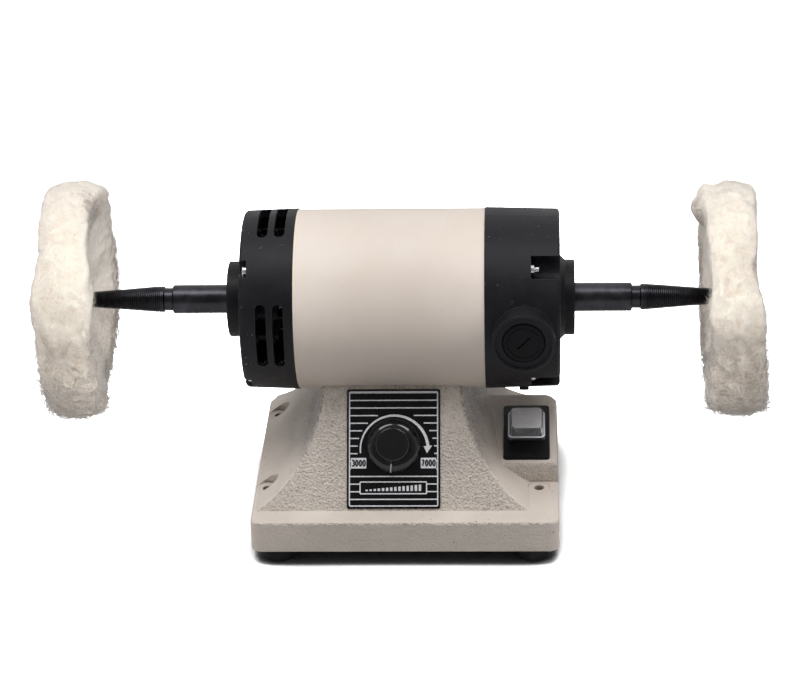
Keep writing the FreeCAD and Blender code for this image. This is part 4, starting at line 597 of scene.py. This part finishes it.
def dial_stripes(ink, left, right, low, high):
    """Level stripes from border to border that leave room for the dial, the numbers and the label."""
    numbers_reach = number_place[0] + number_size[0] / 2
    for number in range(math.ceil(low / stripe_pitch), math.ceil(high / stripe_pitch)):
        y = number * stripe_pitch
        edges = (y - print_line / 2, y + print_line / 2)
        beside_numbers = abs(y - number_place[1]) < number_size[1] / 2 + print_line
        beside_label = label_low - print_line < y < label_high + print_line
        gap = stripe_gap(y)
        if beside_numbers:
            ink.bar(left, -numbers_reach, *edges)
            ink.bar(numbers_reach, right, *edges)
        elif beside_label:
            ink.bar(left, label_left, *edges)
            ink.bar(label_right, right, *edges)
        elif gap > 0:
            ink.bar(left, gap_middle[0] - gap, *edges)
            ink.bar(gap_middle[0] + gap, right, *edges)
        else:
            ink.bar(left, right, *edges)


def label_ramp(ink):
    """A row of bars that grow to the right, inside the label's frame."""
    first = label_left + 3.4 * mm
    pitch = (label_right - label_left - 6.8 * mm) / ramp_bars
    foot = label_low + 2.2 * mm
    tallest = label_high - label_low - 4.4 * mm
    for number in range(ramp_bars):
        left = first + (number + 0.2) * pitch
        height = tallest * (0.22 + 0.78 * number / (ramp_bars - 1))
        ink.bar(left, left + 0.6 * pitch, foot, foot + height)


def stroke(ink, path):
    """Ink of one width along a path."""
    path = np.array(path)
    run = np.gradient(path, axis=0)
    run /= np.linalg.norm(run, axis=1)[:, None]
    side = np.stack([-run[:, 1], run[:, 0]], axis=1) * digit_line / 2
    for k in range(len(path) - 1):
        ink.shape([path[k] - side[k], path[k + 1] - side[k + 1], path[k + 1] + side[k + 1], path[k] + side[k]])


def bow(x, y, half_width, half_height, start, stop, steps=18):
    """Points on part of an ellipse between two angles in degrees."""
    turns = np.radians(np.linspace(start, stop, steps + 1))
    return [(x + half_width * math.cos(turn), y + half_height * math.sin(turn)) for turn in turns]


def digit(ink, sign, x, y):
    """One of the dial's figures, about its middle."""
    half_width, half_height = digit_size[0] / 2, digit_size[1] / 2
    if sign == "0":
        stroke(ink, bow(x, y, half_width, half_height, 0, 360))
    elif sign == "3":
        quarter = half_height / 2
        stroke(ink, bow(x, y + quarter, half_width, quarter, 155, -90))
        stroke(ink, bow(x, y - quarter, half_width, quarter, 90, -155))
    else:
        stroke(ink, [(x - half_width, y + half_height), (x + half_width, y + half_height)])
        stroke(ink, [(x + half_width * 0.8, y + half_height), (x - half_width * 0.3, y - half_height)])


def make_dial():
    """Everything printed on the speed panel."""
    face = spread("speed_panel", dial_middle, dial_out)[1]
    left, right = spread("speed_panel", dial_middle, dial_right)
    low, high = spread("speed_panel", dial_middle, dial_up)
    silver = printed("silver_print", "E4E3E7")
    black = printed("black_print", "101012")
    ink = Print(face)
    inset = (left + border_inset, right - border_inset, low + border_inset, high - border_inset)
    frame_line(ink, *inset, border_corner, print_line)
    line = print_line
    dial_stripes(ink, inset[0] + line, inset[1] - line, inset[2] + line, inset[3] - line)
    dial_arc(ink)
    frame_line(ink, label_left, label_right, label_low, label_high, label_corner, print_line)
    label_ramp(ink)
    for side in (-1, 1):
        x = side * number_place[0]
        y = number_place[1]
        half_width, half_height = number_size[0] / 2, number_size[1] / 2
        ink.shape(rounded_box(x - half_width, x + half_width, y - half_height, y + half_height, 0.4 * mm, 3))
    make_piece("dial_print", ink.points, ink.faces, silver, "root", "panel_black")
    for side, number in ((-1, "3000"), (1, "7000")):
        figures = Print(face + print_height)
        for place, sign in enumerate(number):
            digit(figures, sign, side * number_place[0] + (place - 1.5) * digit_pitch, number_place[1])
        make_piece("dial_number_" + number, figures.points, figures.faces, black, "root", "panel_black")


# ---- knob pointer -----------------------------------------------------------------------------
pointer_turn = 6.0              # degrees to the left of straight down
pointer_width = 0.9 * mm
pointer_proud = 0.1 * mm
pointer_sunk = 0.25 * mm
pointer_start = 12.3 * mm       # just outside the grip
pointer_steps = 9


def skirt_heights():
    """Height of the knob's skirt above its underside at each radius, read from its rings."""
    low = spread("speed_knob", dial_middle, dial_out)[0]
    rings = {}
    for vertex in frame["nodes"]["speed_knob"].data.vertices:
        offset = vertex.co - dial_middle
        height = offset.dot(dial_out)
        radius = (offset - dial_out * height).length
        key = round(radius / mm, 1)
        if radius > pointer_start - 0.4 * mm:
            rings[key] = max(rings.get(key, low), height)
    radii = sorted(rings)
    return low, [radius * mm for radius in radii], [rings[radius] for radius in radii]


def make_pointer():
    """White line painted down the knob's skirt."""
    turn = math.radians(pointer_turn)
    along = -dial_right * math.sin(turn) - dial_up * math.cos(turn)
    across = dial_out.cross(along)
    low, radii, heights = skirt_heights()
    rim = radii[-1]
    places = [(radius, float(np.interp(radius, radii, heights)), 0.0)
              for radius in np.linspace(pointer_start, rim - 0.02 * mm, pointer_steps)]
    places.append((rim, low + 0.15 * mm, 1.0))
    points, faces = [], []
    for radius, height, upright in places:
        for side in (-1, 1):
            for level in (-pointer_sunk, pointer_proud):
                reach = along * (radius + level * max(upright, 0.35))
                rise = dial_out * (height + level * (1 - upright))
                points.append(dial_middle + reach + rise + across * side * pointer_width / 2)
    for k in range(len(places) - 1):
        a = 4 * k
        b = a + 4
        for i, j in ((0, 1), (1, 3), (3, 2), (2, 0)):
            faces.append([a + i, a + j, b + j, b + i])
    faces.append([0, 2, 3, 1])
    end = 4 * (len(places) - 1)
    faces.append([end, end + 1, end + 3, end + 2])
    make_piece("knob_pointer", points, faces, printed("white_paint", "D9D8DC"), "knob", "knob_black")


# ---- spindle threads --------------------------------------------------------------------------
thread_pitch = 1.3 * mm
thread_height = 0.6 * mm
thread_steps = 28               # points in each turn


def taper_rings(node, outward):
    """Places and radii of a spindle's rings, from its tip inwards to the taper's big end."""
    rings = {}
    for vertex in frame["nodes"][node].data.vertices:
        place = round(vertex.co.x / mm, 2)
        radius = math.hypot(vertex.co.y - rotor_axis.y, vertex.co.z - rotor_axis.z)
        rings[place] = max(rings.get(place, 0.0), radius)
    places = sorted(rings, key=lambda place: -place * outward)
    count = 1
    while rings[places[count]] > rings[places[count - 1]]:
        count += 1
    return [place * mm for place in places[:count]], [rings[place] for place in places[:count]]


def make_thread(name, node, outward, body):
    """A sharp ridge wound round the taper from end to end."""
    places, radii = taper_rings(node, outward)
    start = places[-1] + outward * thread_pitch * 0.5
    stop = places[0] - outward * thread_pitch * 0.9
    turns = abs(stop - start) / thread_pitch
    count = int(turns * thread_steps)
    order = np.argsort(places)
    points, faces = [], []
    for step in range(count + 1):
        share = step / count
        x = start + (stop - start) * share
        angle = 2 * math.pi * turns * share
        around = Vector((0, math.cos(angle), math.sin(angle)))
        radius = float(np.interp(x, np.array(places)[order], np.array(radii)[order]))
        rise = thread_height * min(1.0, 0.15 + 12 * share, 0.15 + 12 * (1 - share))
        for offset, reach in ((-0.42, -0.1 * mm), (0.0, rise), (0.42, -0.1 * mm)):
            centre = Vector((x + offset * thread_pitch * outward, rotor_axis.y, rotor_axis.z))
            points.append(centre + around * (radius + reach))
    for step in range(count):
        a, b = 3 * step, 3 * step + 3
        for i, j in ((0, 1), (1, 2), (2, 0)):
            face = [a + i, a + j, b + j, b + i]
            faces.append(face if outward > 0 else face[::-1])
    ends = [[0, 2, 1], [3 * count, 3 * count + 1, 3 * count + 2]]
    faces += ends if outward > 0 else [face[::-1] for face in ends]
    metal = turned_metal(name + "_steel", "262528", "38373B", 0.34, 0.01)
    make_piece(name, points, faces, metal, body, "dark_steel")


# ---- cotton buffs -----------------------------------------------------------------------------
buff_around = 330               # points round the buff
buff_step = 1.5 * mm            # spacing of points along its section
buff_crown = 4.0 * mm
hub_half = 4.5 * mm             # half thickness of a buff at its hub
hub_reach = 22 * mm             # radius where a buff starts to swell
fluff_start = 56 * mm           # radius where its fibres start
fibre_count = 20000
curl_count = 2200
stray_count = 200
most_bend = 1.4                 # the furthest a strand bends aside, as a share of its length
lobes = {      # place along each buff, degrees above the front, place out from the axis, reach, height
    "left_wheel": ((-15, 95, 72, 24, 4), (-15, 60, 72, 18, 2.5), (-14, 22, 72, 16, 2), (13, 25, 72, 20, 3),
                   (14, -25, 72, 18, 3), (16, 88, 58, 20, -4)),
    "right_wheel": ((-17, 100, 58, 16, 11), (-12, 98, 76, 12, -3), (15, -12, 72, 20, 2), (14, 40, 72, 16, -3),
                    (-13, -40, 72, 14, 3)),
}


def buff_section(half, radius, crown, bore):
    """Closed section of a buff as (along, radius) points, evenly spaced and softened."""
    shoulder = radius - crown
    corners = [(-hub_half, bore), (-hub_half, hub_reach), (-half, 60 * mm), (-half, shoulder)]
    for step in range(1, 12):
        across = -half + 2 * half * step / 12
        corners.append((across, radius - crown * (across / half) ** 2))
    corners += [(half, shoulder), (half, 60 * mm), (hub_half, hub_reach), (hub_half, bore)]
    corners = np.array(corners)
    closed = np.vstack([corners, corners[:1]])
    lengths = np.r_[0, np.cumsum(np.linalg.norm(np.diff(closed, axis=0), axis=1))]
    count = int(lengths[-1] / buff_step)
    places = np.linspace(0, lengths[-1], count, endpoint=False)
    section = np.stack([np.interp(places, lengths, closed[:, k]) for k in range(2)], axis=1)
    for _ in range(3):
        section = (np.roll(section, 1, 0) + 2 * section + np.roll(section, -1, 0)) / 4
    return section


def lobe_at(point, node):
    """How far a buff's big lobes push its surface out at a point near its rim."""
    push = 0.0
    for along, degrees, out, reach, height in lobes[node]:
        turn = math.radians(degrees)
        middle = np.array([along, -out * math.cos(turn), out * math.sin(turn)]) * mm
        away = np.linalg.norm(point - middle) / (reach * mm)
        push += height * mm * math.exp(-away ** 2)
    return push


def roughness_at(point, seed):
    """How far a buff's surface is pushed out or in: broad lumps, clumps and tangles."""
    shifted = Vector(point) + Vector((seed, -seed, 0.5 * seed))
    lumps = noise.noise(shifted * 24)
    warped = shifted * 70 + noise.noise_vector(shifted * 45) * 0.8
    worms = 1 - 2.2 * abs(noise.noise(warped))
    clumps = noise.noise(shifted * 130)
    tangles = noise.noise(shifted * 260)
    folds = abs(noise.noise(Vector((shifted.x * 150, shifted.y * 20, shifted.z * 20))))
    broad = 3.8 * lumps + 1.0 * worms + 1.0 * clumps - 1.6 * folds - 1.0
    bent = shifted * 150 + noise.noise_vector(shifted * 90) * 1.1
    crinkles = 1 - 2.4 * abs(noise.noise(bent))
    below_axis = min(max((8 * mm - point[2]) / (30 * mm), 0.0), 1.0)
    return (broad + (0.4 + 0.8 * below_axis) * crinkles + (0.4 + 0.5 * below_axis) * tangles) * mm


def buff_surface(centre, node, seed, lean):
    """Points of a buff's body as rings round the axis, with their outward normals."""
    low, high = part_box(node)
    half = (high.x - low.x) / 2
    radius = (high.z - low.z) / 2
    section = buff_section(half, radius, buff_crown, 10.4 * mm)
    tangent = np.roll(section, -1, 0) - np.roll(section, 1, 0)
    normal = np.stack([-tangent[:, 1], tangent[:, 0]], axis=1)
    normal /= np.linalg.norm(normal, axis=1)[:, None]
    points, normals = [], []
    for turn in np.linspace(0, 2 * math.pi, buff_around, endpoint=False):
        around = np.array([0.0, math.cos(turn), math.sin(turn)])
        for (x, r), (nx, nr) in zip(section, normal):
            point = np.array([x, 0, 0]) + around * r
            out = np.array([nx, 0, 0]) + around * nr
            rim = min(max((r - 24 * mm) / (36 * mm), 0.0), 1.0)
            push = roughness_at(point, seed) + lobe_at(point, node)
            moved = point + out * push * (0.15 + 0.85 * rim)
            moved[0] += math.tan(lean) * moved[2] * rim
            points.append(moved)
            normals.append(out)
    points = np.array(points) + np.array([centre, rotor_axis.y, rotor_axis.z])
    return points, np.array(normals), len(section)


def surface_faces(count):
    """Quads between neighbouring rings of a closed surface."""
    faces = []
    for ring in range(buff_around):
        a = ring * count
        b = ((ring + 1) % buff_around) * count
        for k in range(count):
            j = (k + 1) % count
            faces.append((a + k, b + k, b + j, a + j))
    return faces


def strands(rng, roots, normals, length, thickness, lift, curl, rings):
    """Thin tapered three-sided strands that leave a surface and curl over it."""
    count = len(roots)
    sides = rng.normal(size=(count, 3))
    sides -= (sides * normals).sum(1)[:, None] * normals
    sides /= np.linalg.norm(sides, axis=1)[:, None]
    heights = rng.uniform(*lift, size=(count, 1))
    heading = sides + normals * heights
    heading /= np.linalg.norm(heading, axis=1)[:, None]
    bend = np.cross(heading, normals) * np.clip(rng.normal(0, curl, size=(count, 1)), -most_bend, most_bend)
    bend -= normals * rng.uniform(0, 0.5, size=(count, 1)) * heights
    lengths = rng.uniform(*length, size=(count, 1))
    second = np.cross(heading, normals)
    second /= np.linalg.norm(second, axis=1)[:, None]
    third = np.cross(heading, second)
    points = np.zeros((count, 3 * rings + 1, 3))
    for ring in range(rings + 1):
        share = ring / rings
        centre = roots + lengths * (heading * share + bend * share ** 2) - normals * 0.4 * mm * (1 - share)
        width = thickness * (1 - share) ** 0.6
        if ring == rings:
            points[:, -1] = centre
            continue
        for side in range(3):
            turn = 2 * math.pi * side / 3
            offset = second * math.cos(turn) + third * math.sin(turn)
            points[:, 3 * ring + side] = centre + offset * width
    pattern = [(0, 2, 1)]
    for ring in range(rings - 1):
        for side in range(3):
            a = 3 * ring + side
            b = 3 * ring + (side + 1) % 3
            pattern += [(a, b, b + 3), (a, b + 3, a + 3)]
    last = 3 * (rings - 1)
    pattern += [(last + side, last + (side + 1) % 3, last + 3) for side in range(3)]
    pattern = np.array(pattern)
    starts = np.arange(count) * (3 * rings + 1)
    faces = (starts[:, None, None] + pattern[None]).reshape(-1, 3)
    return points.reshape(-1, 3), faces


def make_buff(side, seed, lean, material, loose):
    """A cotton buff with its tangled surface and loose fibres."""
    node = side + "_wheel"
    low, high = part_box(node)
    centre = (low.x + high.x) / 2
    points, normals, count = buff_surface(centre, node, seed, lean)
    buff = make_piece(side + "_buff", points, surface_faces(count), material, "rotor", "cotton", True)
    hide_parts(node)
    rng = np.random.default_rng(seed)
    reach = np.hypot(points[:, 1] - rotor_axis.y, points[:, 2] - rotor_axis.z)
    rim = np.flatnonzero(reach > fluff_start)
    low_rim = rim[points[rim, 2] < rotor_axis.z + 10 * mm]
    kinds = (("fibres", rim, fibre_count, (3 * mm, 6.5 * mm), 0.05 * mm, (0.3, 1.3), 0.9, 2),
             ("curls", low_rim, curl_count, (7 * mm, 12 * mm), 0.36 * mm, (0.12, 0.35), 1.6, 6),
             ("strays", rim, stray_count, (5 * mm, 9 * mm), 0.045 * mm, (0.5, 1.4), 0.9, 4))
    for kind, places, amount, length, thickness, lift, curl, rings in kinds:
        picks = rng.choice(places, amount)
        hair = strands(rng, points[picks], normals[picks], length, thickness, lift, curl, rings)
        make_piece(side + "_buff_" + kind, *hair, loose, "rotor", "cotton", True)


# ---- studio -----------------------------------------------------------------------------------
ambient = 0.15                  # light from all round
floor_bounce = 0.38             # the floor's share of light thrown back
floor_in_gloss = 0.9
floor_seen = 4.5                # bright enough to stay white beside the machine's shadow
floor_seen_under = 0.10         # and under the machine: a painted contact shadow
contact_reach = 40 * mm
room_in_gloss = 0.25            # the room behind the camera, as glossy parts show it


def softbox(name, place, size, power, target=(0, 0, 0.1), in_gloss=True, spread=180):
    """A square lamp that shines at a place and isn't seen itself, and in gloss only where asked."""
    data = bpy.data.lights.new(name, "AREA")
    data.shape = "SQUARE"
    data.size = size
    data.energy = power
    data.spread = math.radians(spread)
    lamp = bpy.data.objects.new(name, data)
    place = Vector(place)
    lamp.location = place
    lamp.rotation_mode = "QUATERNION"
    lamp.rotation_quaternion = (place - Vector(target)).to_track_quat("Z", "Y")
    lamp.visible_camera = False
    lamp.visible_glossy = in_gloss
    bpy.context.scene.collection.objects.link(lamp)


def joined(tree, operation, first, second):
    """One sum of two values."""
    node = tree.nodes.new("ShaderNodeMath")
    node.operation = operation
    for socket, value in zip(node.inputs, (first, second)):
        if isinstance(value, bpy.types.NodeSocket):
            tree.links.new(value, socket)
        else:
            socket.default_value = value
    return node.outputs[0]


def make_floor():
    """White floor that keeps the machine's shadow, with a painted contact shadow darkening it near the machine."""
    mesh = bpy.data.meshes.new("floor")
    size = 14.0
    corners = [(-size, -size, 0), (size, -size, 0), (size, size, 0), (-size, size, 0)]
    mesh.from_pydata(corners, [], [(0, 1, 2, 3)])
    floor = bpy.data.objects.new("floor", mesh)
    bpy.context.scene.collection.objects.link(floor)
    material = bpy.data.materials.new("floor_white")
    material.use_nodes = True
    tree = material.node_tree
    tree.nodes.clear()
    path = tree.nodes.new("ShaderNodeLightPath")
    reflected = joined(tree, "MAXIMUM", path.outputs["Is Glossy Ray"], path.outputs["Is Transmission Ray"])
    level = joined(tree, "MULTIPLY_ADD", reflected, floor_in_gloss - floor_bounce)
    level.node.inputs[2].default_value = floor_bounce
    # painted shadow: the floor is made darker where the machine is near it
    openness = tree.nodes.new("ShaderNodeAmbientOcclusion")
    openness.inputs["Distance"].default_value = contact_reach
    contact = tree.nodes.new("ShaderNodeMapRange")
    contact.interpolation_type = "SMOOTHSTEP"
    for name, value in (("From Min", 0.4), ("From Max", 0.88), ("To Min", floor_seen_under), ("To Max", floor_seen)):
        contact.inputs[name].default_value = value
    tree.links.new(openness.outputs["AO"], contact.inputs["Value"])
    extra = joined(tree, "SUBTRACT", contact.outputs["Result"], floor_bounce)
    seen = joined(tree, "MULTIPLY", path.outputs["Is Camera Ray"], extra)
    level = joined(tree, "ADD", level, seen)
    diffuse = tree.nodes.new("ShaderNodeBsdfDiffuse")
    tree.links.new(level, diffuse.inputs["Color"])
    output = tree.nodes.new("ShaderNodeOutputMaterial")
    tree.links.new(diffuse.outputs[0], output.inputs["Surface"])
    mesh.materials.append(material)


def make_world():
    """Dim soft light from all round; white where it is seen, and darker in gloss towards the front."""
    world = bpy.data.worlds.new("studio")
    world.use_nodes = True
    tree = world.node_tree
    background = tree.nodes["Background"]
    background.inputs["Color"].default_value = (1, 1, 1, 1)
    path = tree.nodes.new("ShaderNodeLightPath")
    direction = tree.nodes.new("ShaderNodeTexCoord").outputs["Generated"]
    split = tree.nodes.new("ShaderNodeSeparateXYZ")
    tree.links.new(direction, split.inputs[0])
    facing = tree.nodes.new("ShaderNodeMapRange")
    for name, value in (("From Min", -0.7), ("From Max", 0.3), ("To Min", room_in_gloss), ("To Max", 1.0)):
        facing.inputs[name].default_value = value
    tree.links.new(split.outputs["Y"], facing.inputs["Value"])
    gloss = joined(tree, "MULTIPLY", path.outputs["Is Glossy Ray"], facing.outputs["Result"])
    seen = joined(tree, "MAXIMUM", path.outputs["Is Camera Ray"], path.outputs["Is Transmission Ray"])
    strength = joined(tree, "MAXIMUM", joined(tree, "MAXIMUM", seen, gloss), ambient)
    tree.links.new(strength, background.inputs["Strength"])
    bpy.context.scene.world = world


def make_studio():
    """Lamps, floor and surroundings."""
    softbox("left_overhead", (-0.62, -0.3, 1.85), 0.8, 12.5)
    softbox("right_overhead", (0.62, -0.3, 1.85), 0.75, 12)
    softbox("front_high", (0.3, -1.1, 1.6), 0.6, 3.6, in_gloss=False)
    for side, node, low_power in ((-1, "left_wheel", 0.032), (1, "right_wheel", 0.018)):
        low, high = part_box(node)
        middle = (low + high) / 2
        lower = middle - Vector((0, 0, 50 * mm))
        softbox(node + "_side", (side * 1.5, -0.35, 0.8), 1.0, 6.5, in_gloss=False)
        softbox(node + "_front", (side * 0.05, -0.45, 0.05), 0.14, low_power, lower, False, 26)
        softbox(node + "_inner", (0, -0.35, 0.45), 0.15, 0.045, middle, False, 40)
    make_floor()
    make_world()
    bpy.context.scene.view_settings.view_transform = "Standard"


make_camera()
make_studio()
dress_frame()
make_dial()
make_pointer()
make_thread("left_thread", "left_spindle", -1, "rotor")
make_thread("right_thread", "right_spindle", 1, "rotor")
# places and reaches of the painted shadows on the buffs' inner faces near the top
inner_top_shadows = ((Vector((-0.201, 0.004, 0.206)), 27 * mm), (Vector((0.197, 0.010, 0.199)), 23 * mm))
buff_cotton = cotton("buff_cotton", "FFF3E5", "EDDDCE", 0.9, inner_top_shadows, 0.65)
# painted highlight: the loose fibres are made paler than the buff's body, so they stand out light
loose_cotton_painted_lighter = cotton("loose_cotton_painted_lighter", "FFF8EE", "F6EBDF")
make_buff("left", 3, math.radians(0.6), buff_cotton, loose_cotton_painted_lighter)
make_buff("right", 8, math.radians(-2.8), buff_cotton, loose_cotton_painted_lighter)
